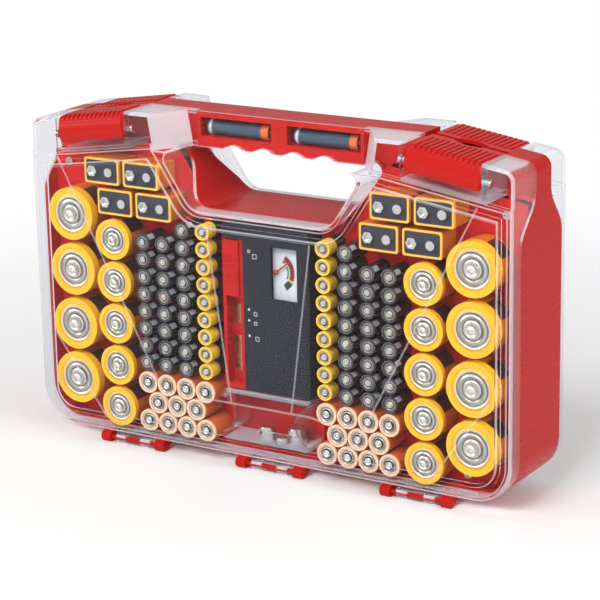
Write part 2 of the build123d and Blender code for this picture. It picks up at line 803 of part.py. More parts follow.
case_body.part.label = "case_body"
export_step(case_body.part, "parts/case_body.step")


# ================================================================ places of the cells
def column(x, lift, pitch, room):
    """Centres of a column of cells, from the lowest up to the room left under the shoulder."""
    low = case_foot + lift
    count = 1 + int((shoulder_height - low - room) / pitch)
    return [(x, low + i * pitch) for i in range(count)]


def both_sides(places):
    """The same places on the right and on the left."""
    return [(x, z) for x, z in places] + [(-x, z) for x, z in places]


d_places = column(d_column, d_lift, d_pitch, d_room)
c_places = column(c_column, c_lift, c_pitch, c_room)
yellow_places = column(yellow_column, yellow_lift, aaa_pitch, yellow_room)
black_places = [
    place
    for x, lift, room in zip(black_columns, black_lifts, black_rooms)
    for place in column(x, lift, aaa_pitch, room)
]
aa_column = coin_box_width / 2 + aa_step
aa_places = [
    (aa_column + (i + (aa_row_counts[0] - count) / 2) * aa_pitch, case_foot + aa_lift + row * aa_row_pitch)
    for row, count in enumerate(aa_row_counts)
    for i in range(count)
]
nine_places = [
    (half_width - margin, case_top - drop, setback)
    for margins, drop, setback in zip(nine_margins, nine_drops, nine_setbacks)
    for margin in margins
]


def round_holes(places, radius, y, depth):
    """Round tools along Y at the places on both sides, from y backwards."""
    with BuildPart() as tools:
        with BuildSketch(facing(y + depth)):
            with Locations(*both_sides(places)):
                Circle(radius)
        extrude(amount=depth)
    return tools.part


# ================================================================ front tray
with BuildPart() as front_tray:
    extrude(panel_outline(deck_back, tray_inset), amount=deck_thickness)
    # collars that hold the larger cells upright
    add(round_holes(d_places, D_RADIUS + cell_gap + cell_collar_wall, deck_back - 0.5, cell_collar))
    add(round_holes(c_places, C_RADIUS + cell_gap + cell_collar_wall, deck_back - 0.5, cell_collar))
    # well for the tester, with a floor behind it
    well_middle = (tester_low + tester_high) / 2
    with Locations((0, deck_front, well_middle)):
        Box(
            tester_width + 2 * (drop_gap + tray_floor), well_depth + tray_floor,
            tester_high - tester_low + 2 * (drop_gap + tray_floor),
            align=(Align.CENTER, Align.MIN, Align.CENTER),
        )
        Box(
            tester_width + 2 * drop_gap, well_depth, tester_high - tester_low + 2 * drop_gap,
            align=(Align.CENTER, Align.MIN, Align.CENTER), mode=Mode.SUBTRACT,
        )
        # finger hole through the well's floor, to push the tester out
        Cylinder(push_hole_radius, case_depth, rotation=(90, 0, 0), mode=Mode.SUBTRACT)
    # lugs beside the coin cell box
    for side in (1, -1):
        with Locations((side * (coin_box_width / 2 + seat_gap + lug_width / 2), deck_front + 0.5, coin_box_middle)):
            Box(lug_width, lug_height + 0.5, coin_lug_length, align=(Align.CENTER, Align.MAX, Align.CENTER))
    deep = 2 * cell_collar + deck_thickness
    add(round_holes(d_places, D_RADIUS + cell_gap, deck_front - 1, deep), mode=Mode.SUBTRACT)
    add(round_holes(c_places, C_RADIUS + cell_gap, deck_front - 1, deep), mode=Mode.SUBTRACT)
    add(round_holes(yellow_places, AAA_RADIUS + small_cell_gap, deck_front - 1, deep), mode=Mode.SUBTRACT)
    add(round_holes(black_places, AAA_RADIUS + small_cell_gap, deck_front - 1, deep), mode=Mode.SUBTRACT)
    add(round_holes(aa_places, AA_RADIUS + small_cell_gap, deck_front - 1, deep), mode=Mode.SUBTRACT)
    for x, z, setback in nine_places:
        for side in (1, -1):
            with Locations((side * x, deck_front, z)):
                Box(
                    NINE_WIDTH + 2 * cell_gap, case_depth, NINE_HEIGHT + 2 * cell_gap, mode=Mode.SUBTRACT
                )
    for boss_x, boss_z, foot in screw_places:
        with Locations((boss_x, deck_front, boss_z), (-boss_x, deck_front, boss_z)):
            Cylinder(screw_radius + drop_gap, 3 * deck_thickness, rotation=(90, 0, 0), mode=Mode.SUBTRACT)
front_tray.part.label = "front_tray"
export_step(front_tray.part, "parts/front_tray.step")


# ================================================================ rear tray
rear_cell_low = case_foot + rear_cell_lift
rear_cell_rows = 1 + int((hole_floor - rear_cell_low - rear_cell_room) / rear_cell_z_pitch)
pan_low = rear_cell_low - pan_edge
pan_high = rear_cell_low + (rear_cell_rows - 1) * rear_cell_z_pitch + pan_edge
pan_half_width = (rear_cell_columns - 1) / 2 * rear_cell_x_pitch + AA_LENGTH / 2 + rear_end_room
bump_inner, bump_outer = half_width - bump_inner_margin, half_width - bump_outer_margin
bump_low, bump_high = case_foot + bump_lift, case_top - bump_drop
with BuildPart() as rear_tray:
    extrude(panel_outline(rear_plate + tray_floor, tray_inset), amount=tray_floor)
    # pan that the cells of the rear side lie in
    pan_middle = (pan_low + pan_high) / 2
    with Locations((0, pan_floor, pan_middle)):
        Box(
            2 * (pan_half_width + tray_wall), rear_plate + tray_floor - pan_floor,
            pan_high - pan_low + 2 * tray_wall, align=(Align.CENTER, Align.MIN, Align.CENTER),
        )
    with Locations((0, pan_floor + tray_floor, pan_middle)):
        Box(
            2 * pan_half_width, case_depth, pan_high - pan_low,
            align=(Align.CENTER, Align.MIN, Align.CENTER), mode=Mode.SUBTRACT,
        )
    # ribs between the cells that lie in the pan
    with Locations((0, pan_floor + tray_floor, pan_middle)):
        for column_edge in (-0.5, 0.5):
            with Locations((column_edge * rear_cell_x_pitch, 0, 0)):
                Box(
                    rear_divider, rear_divider_height, pan_high - pan_low,
                    align=(Align.CENTER, Align.MIN, Align.CENTER),
                )
    for row in range(rear_cell_rows - 1):
        with Locations((0, pan_floor + tray_floor, rear_cell_low + (row + 0.5) * rear_cell_z_pitch)):
            Box(
                2 * pan_half_width, rear_divider_height - 1, rear_divider,
                align=(Align.CENTER, Align.MIN, Align.CENTER),
            )
    # bumps over the longest cells' ends
    for side in (1, -1):
        with Locations((side * (bump_inner + bump_outer) / 2, rear_plate, (bump_low + bump_high) / 2)):
            Box(
                bump_outer - bump_inner, bump_face + tray_floor - rear_plate, bump_high - bump_low,
                align=(Align.CENTER, Align.MIN, Align.CENTER),
            )
            Box(
                bump_outer - bump_inner - 2 * tray_wall, bump_face - rear_plate,
                bump_high - bump_low - 2 * tray_wall,
                align=(Align.CENTER, Align.MIN, Align.CENTER), mode=Mode.SUBTRACT,
            )
    for boss_x, boss_z, foot in screw_places:
        with Locations((boss_x, rear_plate, boss_z), (-boss_x, rear_plate, boss_z)):
            Cylinder(screw_radius + drop_gap, 3 * tray_floor, rotation=(90, 0, 0), mode=Mode.SUBTRACT)
rear_tray.part.label = "rear_tray"
export_step(rear_tray.part, "parts/rear_tray.step")


# ================================================================ screws of the trays
with BuildPart() as tray_screws:
    for boss_x, boss_z, foot in screw_places:
        for x in (boss_x, -boss_x):
            for face, turn in ((deck_front, 1), (rear_plate + tray_floor, -1)):
                with Locations((x, face, boss_z)):
                    Cylinder(
                        screw_radius, screw_length, rotation=(-90 * turn, 0, 0),
                        align=(Align.CENTER, Align.CENTER, Align.MIN),
                    )
                    Cylinder(
                        screw_head_radius, screw_head_height, rotation=(90 * turn, 0, 0),
                        align=(Align.CENTER, Align.CENTER, Align.MIN),
                    )
                with Locations((x, face - turn * screw_head_height, boss_z)):
                    for turned in (0, 90):
                        Box(
                            1.3 * screw_head_radius, 2 * screw_slot_depth, screw_slot_width,
                            rotation=(0, turned, 0), mode=Mode.SUBTRACT,
                        )
tray_screws.part.label = "tray_screws"
export_step(tray_screws.part, "parts/tray_screws.step")


# ================================================================ round cells
def standing_jackets(places, radius, length, side):
    """Cells standing front to back on one side, each hollowed a little for its terminal's disc."""
    with BuildPart() as jackets:
        here = [(side * x, z) for x, z in places]
        with BuildSketch(facing(cell_front + length)):
            with Locations(*here):
                Circle(radius)
        extrude(amount=length)
        with BuildSketch(facing(cell_front)):
            with Locations(*here):
                Circle(radius * cap_share)
        extrude(amount=-cap_depth, mode=Mode.SUBTRACT)
    return jackets.part


def standing_caps(places, radius, nub):
    """The metal ends of the cells on both sides: a disc with the raised contact."""
    with BuildPart() as caps:
        with BuildSketch(facing(cell_front + cap_depth)):
            with Locations(*both_sides(places)):
                Circle(radius * cap_share)
        extrude(amount=cap_depth / 2)
        with BuildSketch(facing(cell_front + cap_depth)):
            with Locations(*both_sides(places)):
                Circle(radius * nub)
        extrude(amount=cap_depth + radius * 0.08)
    return caps.part


kinds = (
    ("d_cells", d_places, D_RADIUS, D_LENGTH, 0.28),
    ("c_cells", c_places, C_RADIUS, C_LENGTH, 0.25),
    ("aa_cells", aa_places, AA_RADIUS, AA_LENGTH, 0.38),
    ("aaa_black_cells", black_places, AAA_RADIUS, AAA_LENGTH, 0.36),
    ("aaa_yellow_cells", yellow_places, AAA_RADIUS, AAA_LENGTH, 0.36),
)
for name, places, radius, length, nub in kinds:
    for side, word in ((-1, "left"), (1, "right")):
        jackets = standing_jackets(places, radius, length, side)
        jackets.label = name + "_" + word
        export_step(jackets, "parts/" + name + "_" + word + ".step")
    caps = standing_caps(places, radius, nub)
    caps.label = name.replace("cells", "caps")
    export_step(caps, "parts/" + caps.label + ".step")


# ================================================================ nine volt cells
def nine_block(x, z, setback, width, height, start, length):
    """A block with rounded upright edges, from start behind a nine volt cell's face backwards."""
    with BuildPart() as block:
        with BuildSketch(facing(cell_front + setback + start + length)):
            with Locations((x, z)):
                RectangleRounded(width, height, nine_corner_radius)
        extrude(amount=length)
    return block.part


for side, word in ((-1, "left"), (1, "right")):
    with BuildPart() as nine_cells:
        for x, z, setback in nine_places:
            add(nine_block(side * x, z, setback, NINE_WIDTH, NINE_HEIGHT, 0, NINE_LENGTH))
            inner = NINE_WIDTH - 2 * nine_rim, NINE_HEIGHT - 2 * nine_rim
            add(nine_block(side * x, z, setback, *inner, -0.5, cap_depth + 0.5), mode=Mode.SUBTRACT)
    nine_cells.part.label = "nine_volt_cells_" + word
    export_step(nine_cells.part, "parts/nine_volt_cells_" + word + ".step")

with BuildPart() as nine_volt_faces:
    for x, z, setback in nine_places:
        for side in (1, -1):
            inner = NINE_WIDTH - 2 * nine_rim, NINE_HEIGHT - 2 * nine_rim
            add(nine_block(side * x, z, setback, *inner, cap_depth / 2, cap_depth / 2))
nine_volt_faces.part.label = "nine_volt_faces"
export_step(nine_volt_faces.part, "parts/nine_volt_faces.step")

with BuildPart() as nine_volt_terminals:
    for x, z, setback in nine_places:
        for side in (1, -1):
            for stud in (1, -1):
                face = cell_front + setback + cap_depth / 2
                with BuildSketch(facing(face)):
                    with Locations((side * x + stud * nine_stud_pitch / 2, z)):
                        if stud > 0:
                            Circle(nine_stud_radius)
                        else:
                            RegularPolygon(nine_stud_radius * 1.3, 6)
                extrude(amount=nine_stud_height)
                if stud < 0:
                    with BuildSketch(facing(face - nine_stud_height)):
                        with Locations((side * x - nine_stud_pitch / 2, z)):
                            Circle(nine_stud_radius * 0.85)
                    extrude(amount=-nine_stud_height * 0.7, mode=Mode.SUBTRACT)
nine_volt_terminals.part.label = "nine_volt_terminals"
export_step(nine_volt_terminals.part, "parts/nine_volt_terminals.step")


# ================================================================ lying cells
def lying_jackets(places, radius, length):
    """Cells lying along X, hollowed a little at the right end for the terminal's disc."""
    with BuildPart() as jackets:
        with Locations(*places):
            Cylinder(radius, length, rotation=(0, 90, 0))
            with Locations((length / 2, 0, 0)):
                Cylinder(radius * cap_share, 2 * cap_depth, rotation=(0, 90, 0), mode=Mode.SUBTRACT)
    return jackets.part


def lying_caps(places, radius, length, nub):
    """The metal ends of the lying cells."""
    with BuildPart() as caps:
        with Locations(*places):
            with Locations((length / 2 - cap_depth * 0.75, 0, 0)):
                Cylinder(radius * cap_share, cap_depth / 2, rotation=(0, 90, 0))
            with Locations((length / 2 - cap_depth / 2, 0, 0)):
                Cylinder(
                    radius * nub, cap_depth / 2 + radius * 0.08, rotation=(0, 90, 0),
                    align=(Align.CENTER, Align.CENTER, Align.MIN),
                )
    return caps.part


pocket_floor = handle_cell_height - handle_pocket_height / 2
handle_places = [
    (x, handle_pocket_depth + bar_front - AAA_RADIUS - pin_gap, pocket_floor + AAA_RADIUS + pin_gap)
    for x in (-handle_cell_x, handle_cell_x)
]
rear_places = [
    (
        (i - (rear_cell_columns - 1) / 2) * rear_cell_x_pitch,
        pan_floor + tray_floor + AA_RADIUS + pin_gap,
        rear_cell_low + row * rear_cell_z_pitch,
    )
    for i in range(rear_cell_columns)
    for row in range(rear_cell_rows)
]
for name, places, radius, length, nub in (
    ("handle_cells", handle_places, AAA_RADIUS, AAA_LENGTH, 0.36),
    ("rear_aa_cells", rear_places, AA_RADIUS, AA_LENGTH, 0.38),
):
    jackets = lying_jackets(places, radius, length)
    jackets.label = name
    export_step(jackets, "parts/" + name + ".step")
    caps = lying_caps(places, radius, length, nub)
    caps.label = name.replace("cells", "caps")
    export_step(caps, "parts/" + caps.label + ".step")


# ================================================================ tester
housing_front = front + tester_face
housing_back = housing_front + tester_thickness
channel_edge = -tester_width / 2 + channel_width
channel_back = housing_front + channel_floor_depth
meter_centre = (meter_x, tester_high - meter_drop)
contact_heights = [(tester_low + low, tester_low + high) for low, high in contact_lifts]
tester_posts = [(x, z) for x in post_xs for z in (tester_low + post_inset, tester_high - post_inset)]


def block(x, y, z, mode=Mode.ADD):
    """A box given by its two limits along each axis."""
    with Locations(((x[0] + x[1]) / 2, (y[0] + y[1]) / 2, (z[0] + z[1]) / 2)):
        return Box(x[1] - x[0], y[1] - y[0], z[1] - z[0], mode=mode)


with BuildPart() as tester_housing:
    plate_back = housing_back - tester_back_thickness
    block((-tester_width / 2, tester_width / 2), (housing_front, plate_back), (tester_low, tester_high))
    fillet(tester_housing.edges().filter_by(Axis.Y), tester_edge_radius)
    fillet(tester_housing.faces().sort_by(Axis.Y)[0].edges(), tester_edge_radius / 2)
    inner = (tester_low + tester_wall, tester_high - tester_wall)
    block(
        (channel_edge + tester_wall, tester_width / 2 - tester_wall),
        (housing_front + tester_wall, housing_back), inner, Mode.SUBTRACT,
    )
    block(
        (-tester_width / 2 + tester_wall, channel_edge + tester_wall),
        (channel_back + tester_wall, housing_back), inner, Mode.SUBTRACT,
    )
    block(
        (-tester_width, channel_edge), (housing_front - 1, channel_back),
        (tester_low - 1, tester_high - channel_cap), Mode.SUBTRACT,
    )
    # opening for the meter, stepped so that the window lies behind its edge
    with BuildSketch(facing(housing_front + 2 * tester_wall)):
        with Locations(meter_centre):
            Rectangle(meter_width, meter_height)
    extrude(amount=3 * tester_wall, mode=Mode.SUBTRACT)
    with BuildSketch(facing(housing_front + 2 * tester_wall)):
        with Locations(meter_centre):
            Rectangle(meter_width + 2 * meter_step, meter_height + 2 * meter_step)
    extrude(amount=2 * tester_wall - meter_lip, mode=Mode.SUBTRACT)
    # posts that the back is screwed to
    for x, z in tester_posts:
        with Locations((x, plate_back, z)):
            Cylinder(
                post_radius, tester_thickness - tester_back_thickness - 1.0, rotation=(90, 0, 0),
                align=(Align.CENTER, Align.CENTER, Align.MIN),
            )
            Cylinder(screw_radius + pin_gap, 2 * screw_length, rotation=(90, 0, 0), mode=Mode.SUBTRACT)
tester_housing.part.label = "tester_housing"
export_step(tester_housing.part, "parts/tester_housing.step")

with BuildPart() as tester_back:
    block(
        (-tester_width / 2, tester_width / 2), (housing_back - tester_back_thickness, housing_back),
        (tester_low, tester_high),
    )
    fillet(tester_back.edges().filter_by(Axis.Y), tester_edge_radius)
    for x, z in tester_posts:
        with Locations((x, housing_back, z)):
            Cylinder(screw_radius + drop_gap, 3 * tester_back_thickness, rotation=(90, 0, 0), mode=Mode.SUBTRACT)
            Cylinder(screw_head_radius + drop_gap, 2 * screw_sink, rotation=(90, 0, 0), mode=Mode.SUBTRACT)
tester_back.part.label = "tester_back"
export_step(tester_back.part, "parts/tester_back.step")

with BuildPart() as tester_screws:
    for x, z in tester_posts:
        with Locations((x, housing_back - screw_sink, z)):
            Cylinder(
                screw_radius, screw_length, rotation=(90, 0, 0), align=(Align.CENTER, Align.CENTER, Align.MIN)
            )
            Cylinder(
                screw_head_radius, screw_sink - 0.2, rotation=(-90, 0, 0),
                align=(Align.CENTER, Align.CENTER, Align.MIN),
            )
tester_screws.part.label = "tester_screws"
export_step(tester_screws.part, "parts/tester_screws.step")

# the red channel that the adjusting slider runs in
channel_left = -tester_width / 2
channel_top = tester_high - channel_cap
slot_left, slot_right = channel_left + channel_wall, channel_edge - channel_wall - pin_gap
with BuildPart() as tester_channel:
    block(
        (channel_left, channel_edge - pin_gap), (housing_front + channel_setback, channel_back),
        (tester_low, channel_top - pin_gap),
    )
    block(
        (slot_left, slot_right), (housing_front + channel_lip, channel_back - channel_wall),
        (tester_low + channel_foot, channel_top + 1), Mode.SUBTRACT,
    )
    block(
        (slot_left + channel_lip_width, slot_right - channel_lip_width),
        (housing_front - 1, channel_back - channel_wall - 1),
        (tester_low + channel_foot, channel_top + 1), Mode.SUBTRACT,
    )
    for low, high in contact_heights:
        block(
            (slot_left + contact_inset, slot_right - contact_inset),
            (channel_back - channel_wall - 1, channel_back - channel_wall + contact_thickness),
            (low, high), Mode.SUBTRACT,
        )
tester_channel.part.label = "tester_channel"
export_step(tester_channel.part, "parts/tester_channel.step")

with BuildPart() as tester_contacts:
    for low, high in contact_heights:
        block(
            (slot_left + contact_inset + pin_gap, slot_right - contact_inset - pin_gap),
            (channel_back - channel_wall, channel_back - channel_wall + contact_thickness),
            (low + pin_gap, high - pin_gap),
        )
tester_contacts.part.label = "tester_contacts"
export_step(tester_contacts.part, "parts/tester_contacts.step")

slider_top = channel_top - 2 * slider_gap
with BuildPart() as tester_slider:
    block(
        (slot_left + slider_gap, slot_right - slider_gap),
        (housing_front + channel_lip + slider_gap, channel_back - channel_wall - slider_gap),
        (slider_top - slider_height, slider_top),
    )
    block(
        (slot_left + channel_lip_width + slider_gap, slot_right - channel_lip_width - slider_gap),
        (housing_front - slider_stand, housing_front + channel_lip + 1),
        (slider_top - slider_height, slider_top),
    )
    for i in range(slider_ridges):
        z = slider_top - slider_height / 2 + (i - (slider_ridges - 1) / 2) * slider_ridge_pitch
        with Locations(((slot_left + slot_right) / 2, housing_front - slider_stand, z)):
            Box(slot_right - slot_left - 4 * channel_lip_width, 2 * slider_ridge_height, slider_ridge_width)
tester_slider.part.label = "tester_slider"
export_step(tester_slider.part, "parts/tester_slider.step")

with BuildPart() as meter_window:
    with BuildSketch(facing(housing_front + tester_wall)):
        with Locations(meter_centre):
            Rectangle(meter_width + 2 * meter_step - 2 * pin_gap, meter_height + 2 * meter_step - 2 * pin_gap)
    extrude(amount=tester_wall - meter_lip)
meter_window.part.label = "meter_window"
export_step(meter_window.part, "parts/meter_window.step")

dial_front = housing_front + dial_depth
needle_pivot = (meter_centre[0] - needle_offset, meter_centre[1])
with BuildPart() as meter_dial:
    with BuildSketch(facing(dial_front + dial_thickness)):
        with Locations(meter_centre):
            Rectangle(meter_width + 2 * dial_margin, meter_height + 2 * dial_margin)
        with Locations(needle_pivot):
            Circle(pivot_radius + drop_gap, mode=Mode.SUBTRACT)
    extrude(amount=dial_thickness)
meter_dial.part.label = "meter_dial"
export_step(meter_dial.part, "parts/meter_dial.step")

needle_front = dial_front - needle_standoff
with BuildPart() as meter_pivot:
    with BuildSketch(facing(dial_front + dial_thickness + pivot_tail)):
        with Locations(needle_pivot):
            Circle(pivot_radius)
    extrude(amount=dial_thickness + pivot_tail + needle_standoff + needle_thickness)
meter_pivot.part.label = "meter_pivot"
export_step(meter_pivot.part, "parts/meter_pivot.step")

with BuildPart() as meter_movement:
    with BuildSketch(facing(housing_back - tester_back_thickness)):
        with Locations(meter_centre):
            Rectangle(meter_width, movement_height)
    extrude(amount=movement_foot)
    with BuildSketch(facing(housing_back - tester_back_thickness)):
        with Locations(needle_pivot):
            Circle(movement_radius)
    extrude(amount=housing_back - tester_back_thickness - dial_front - dial_thickness)
    with BuildSketch(facing(dial_front + dial_thickness + pivot_tail)):
        with Locations(needle_pivot):
            Circle(pivot_radius)
    extrude(amount=pivot_tail + 1.0, mode=Mode.SUBTRACT)
meter_movement.part.label = "meter_movement"
export_step(meter_movement.part, "parts/meter_movement.step")

with BuildPart() as meter_needle:
    with BuildSketch(facing(needle_front)) as needle:
        with Locations(Location((needle_pivot[0], needle_pivot[1]), needle_rest_angle)):
            Circle(needle_hub_radius)
            with Locations((needle_length / 2, 0)):
                Rectangle(needle_length, needle_width)
            with Locations((-needle_hub_radius * 1.2, 0)):
                Rectangle(needle_hub_radius * 1.6, needle_width * 1.6)
        with Locations(needle_pivot):
            Circle(pivot_radius + pin_gap, mode=Mode.SUBTRACT)
    extrude(amount=needle_thickness)
meter_needle.part.label = "meter_needle"
export_step(meter_needle.part, "parts/meter_needle.step")


# ================================================================ coin cell box
def coin_outline(y, inset):
    """The box seen from the front, pinched at both sides so that fingers can lift it out."""
    with BuildSketch(facing(y)) as outline:
        with Locations((0, coin_box_middle)):
            RectangleRounded(coin_box_width, coin_box_height, coin_box_radius)
        for side in (1, -1):
            with Locations((side * (coin_box_width / 2 + coin_grip_radius - coin_box_scoop), coin_box_middle)):
                Circle(coin_grip_radius, mode=Mode.SUBTRACT)
        if inset:
            offset(amount=-inset, kind=Kind.INTERSECTION)
    return outline.sketch


coin_back = deck_front - drop_gap
with BuildPart() as coin_box:
    extrude(coin_outline(coin_back, 0), amount=coin_back - cell_front)
    extrude(coin_outline(coin_back - coin_box_wall, coin_box_wall), amount=case_depth, mode=Mode.SUBTRACT)
    # low front wall that keeps the coin cells in
    with BuildPart() as fence:
        extrude(coin_outline(cell_front + coin_box_wall, 0), amount=coin_box_wall)
        with Locations((0, 0, coin_box_low + coin_fence)):
            Box(
                case_width, 2 * case_depth, case_top, align=(Align.CENTER, Align.CENTER, Align.MIN),
                mode=Mode.SUBTRACT,
            )
    add(fence.part)
coin_box.part.label = "coin_box"
export_step(coin_box.part, "parts/coin_box.step")

with BuildPart() as coin_cells:
    for x, depth, lift, diameter, thickness in coin_cell_places:
        with Locations((x, cell_front + depth, coin_box_low + coin_box_wall + pin_gap + lift)):
            Cylinder(diameter / 2, thickness * 0.8, align=(Align.CENTER, Align.CENTER, Align.MIN))
            with Locations((0, 0, thickness * 0.8)):
                Cylinder(diameter * 0.4, thickness * 0.2, align=(Align.CENTER, Align.CENTER, Align.MIN))
coin_cells.part.label = "coin_cells"
export_step(coin_cells.part, "parts/coin_cells.step")
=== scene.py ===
"""Looks of a double-sided battery storage case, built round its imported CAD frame."""
import math

import bpy
from mathutils import Matrix, Vector


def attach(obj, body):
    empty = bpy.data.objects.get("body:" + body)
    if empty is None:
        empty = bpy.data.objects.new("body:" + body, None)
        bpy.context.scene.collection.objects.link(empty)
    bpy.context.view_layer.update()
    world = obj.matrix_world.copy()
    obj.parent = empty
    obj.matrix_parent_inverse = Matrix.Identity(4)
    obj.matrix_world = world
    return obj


bl_info = {
    "name": "Battery storage case",
    "version": (1, 0, 0),
    "blender": (4, 5, 0),
    "location": "View3D > Sidebar > Case",
    "description": "Dresses the battery storage case with its finishes, print and studio",
    "category": "Object",
}

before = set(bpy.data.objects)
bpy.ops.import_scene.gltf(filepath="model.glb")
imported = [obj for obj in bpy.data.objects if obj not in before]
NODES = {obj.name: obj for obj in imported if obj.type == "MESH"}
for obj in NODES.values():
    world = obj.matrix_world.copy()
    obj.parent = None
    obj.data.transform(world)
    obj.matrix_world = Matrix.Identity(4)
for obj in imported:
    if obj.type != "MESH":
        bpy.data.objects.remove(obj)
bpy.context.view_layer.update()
MM = 0.001

# Sizes of the case that the finishes line up with, in metres.
CELL_FRONT = -33.2 * MM
D_COLUMN, D_TOP, D_PITCH, D_CAP = 144.9 * MM, 152.1 * MM, 36.7 * MM, 13.7 * MM
C_COLUMN, C_TOP, C_PITCH, C_CAP = 112.5 * MM, 138.9 * MM, 27.95 * MM, 10.5 * MM
AAA_PITCH, AAA_CAP = 11.36 * MM, 4.12 * MM
SLIM_COLUMN, SLIM_TOP, SLIM_SPACING = 74.3 * MM, 151.5 * MM, 15.18 * MM
YELLOW_COLUMN, YELLOW_TOP = 43.6 * MM, 151.9 * MM
AA_COLUMN, AA_LOW, AA_ROW, AA_SPACING = 44.7 * MM, 21.6 * MM, 12.8 * MM, 14.7 * MM
AA_TOP, AA_CAP = AA_LOW + 2 * AA_ROW, 5.68 * MM
# The block cells' case reads only the depth, so its column can be any.
BLOCK_COLUMN, BLOCK_TOP, BLOCK_PITCH = 100.0 * MM, 100.0 * MM, 200.0 * MM
HANDLE_CELL_X = 31.7 * MM
HANDLE_BAND, HANDLE_LINE = (17.0 * MM, 30.0 * MM), (-21.0 * MM, -19.0 * MM)
METER_PIVOT = (5.98 * MM, 131.0 * MM)
TESTER_FACE = -29.5 * MM
LINE_LEVEL = 37.56 * MM
FAR_OFF = 1.0  # a level or a spacing past every piece

# Marks on the tester's face, in millimetres: arrowheads (x, height), and outlines (x, height, reach).
ARROWHEADS = ((-12.4, 105.5), (-12.4, 98.5), (-12.4, 88.5))
ARROWHEAD_REACH = 1.1
OUTLINES = (
    (-7.6, 103.0, 1.7), (-7.6, 97.0, 1.5), (-6.6, 87.0, 1.9), (-7.4, 140.0, 2.1), (-11.6, 143.0, 1.3),
)
OUTLINE_WIDTH = 0.28
INK_HEIGHT = 0.08

# The photo's camera: its place in metres, its turns in degrees and its sensor in millimetres.
CAMERA_PLACE = (0.740637, -1.182199, 0.510052)
CAMERA_AZIMUTH, CAMERA_ELEVATION, CAMERA_ROLL = 31.8396, 16.1694, -1.1050
SENSOR_WIDTH = 36.0

# The studio's floor, in metres: its reach, its level, and where it starts and ends to turn white.
FLOOR_REACH, FLOOR_LEVEL = 6.0, -0.0002
FLOOR_FADE = (0.25, 0.75)

# Colours that no setting holds.
DARK_PRINT = (0.03, 0.012, 0.01, 1)
SILVER_PRINT = (0.40, 0.41, 0.44, 1)
PALE_PRINT = (0.5, 0.5, 0.5, 1)
DARK_RING = (0.05, 0.055, 0.06, 1)
PALE_COPPER = (0.78, 0.52, 0.33, 1)
BROWN_SLEEVE, SLIM_YELLOW = (0.03, 0.024, 0.02, 1), (0.83, 0.55, 0.04, 1)
BLOCK_SLEEVE, BLOCK_RIM = (0.50, 0.13, 0.01, 1), (0.83, 0.45, 0.06, 1)
BLOCK_FACE = (0.040, 0.040, 0.052, 1)
STEEL, NICKEL, COPPER = (0.62, 0.61, 0.6, 1), (0.80, 0.78, 0.73, 1), (0.70, 0.36, 0.20, 1)
TESTER_BLACK, NEEDLE_RED = (0.020, 0.021, 0.027, 1), (0.45, 0.02, 0.01, 1)
INK_WHITE = (0.75, 0.75, 0.75, 1)
# whitish painted highlight and painted reflection for the clear plastic's edges, raised lines and tops
PAINTED_HIGHLIGHT_WHITE = (0.72, 0.73, 0.77, 1)
FLOOR_WHITE = (0.93, 0.93, 0.93, 1)
END_METAL = (0.74, 0.71, 0.63)

# Rings of a cell's end: the shares of its radius that each lies between, and its shade, where above 1 is a
# painted highlight and below 1 is painted shade.
LARGE_PAINTED_LIGHT_RINGS = (
    (0.78, 0.86, 1.15), (0.72, 0.78, 0.30), (0.60, 0.66, 0.85), (0.42, 0.50, 0.32), (0.36, 0.42, 1.10),
    (-1.0, 0.36, 0.85), (-1.0, 0.22, 1.15),
)
SMALL_PAINTED_LIGHT_RINGS = ((0.80, 0.90, 1.1), (0.74, 0.80, 0.30), (0.40, 0.52, 0.22), (-1.0, 0.40, 1.15))
SLIM_PAINTED_LIGHT_RINGS = ((0.80, 0.88, 0.9), (0.50, 0.66, 0.12), (-1.0, 0.50, 1.1))


# ------------------------------------------------------------------ settings
class CaseFinish(bpy.types.PropertyGroup):
    """Colours of the moulded case and its lids."""

    red: bpy.props.FloatVectorProperty(
        name="Red plastic", description="Colour of the moulded case, trays and latches",
        subtype="COLOR", size=4, min=0.0, max=1.0, default=(0.47, 0.013, 0.010, 1.0),
    )
    clear: bpy.props.FloatVectorProperty(
        name="Clear plastic", description="Tint of the lids and the coin cell bin",
        subtype="COLOR", size=4, min=0.0, max=1.0, default=(0.90, 0.91, 0.935, 1.0),
    )
    grain: bpy.props.FloatProperty(
        name="Moulded grain", description="Height of the fine grain on the moulded plastic",
        min=0.0, max=1.0, default=0.12, subtype="FACTOR",
    )


class CellFinish(bpy.types.PropertyGroup):
    """Colours of the cells' printed sleeves."""

    amber: bpy.props.FloatVectorProperty(
        name="Large cells", description="Sleeve of the D and C cells",
        subtype="COLOR", size=4, min=0.0, max=1.0, default=(0.55, 0.13, 0.008, 1.0),
    )
    yellow: bpy.props.FloatVectorProperty(
        name="End ring", description="Ring round the D and C cells' ends",
        subtype="COLOR", size=4, min=0.0, max=1.0, default=(0.85, 0.45, 0.010, 1.0),
    )
    black: bpy.props.FloatVectorProperty(
        name="Black cells", description="Sleeve of the black AAA cells",
        subtype="COLOR", size=4, min=0.0, max=1.0, default=(0.022, 0.024, 0.028, 1.0),
    )
    copper: bpy.props.FloatVectorProperty(
        name="AA cells", description="Sleeve of the AA cells",
        subtype="COLOR", size=4, min=0.0, max=1.0, default=(0.62, 0.12, 0.025, 1.0),
    )
    slate: bpy.props.FloatVectorProperty(
        name="Handle cells", description="Sleeve of the cells in the handle",
        subtype="COLOR", size=4, min=0.0, max=1.0, default=(0.035, 0.06, 0.085, 1.0),
    )


class StudioSetup(bpy.types.PropertyGroup):
    """The camera, lamps and floor."""

    lens: bpy.props.FloatProperty(
        name="Lens", description="Focal length of the camera",
        default=138.75, min=20.0, max=400.0, unit="CAMERA",
    )
    lamp_power: bpy.props.FloatProperty(
        name="Key lamp", description="Power of the large lamp over the camera",
        default=19.0, min=0.0, unit="POWER",
    )
    surround: bpy.props.FloatProperty(
        name="Surround", description="Brightness of the studio round the case",
        default=0.5, min=0.0, max=2.0,
    )


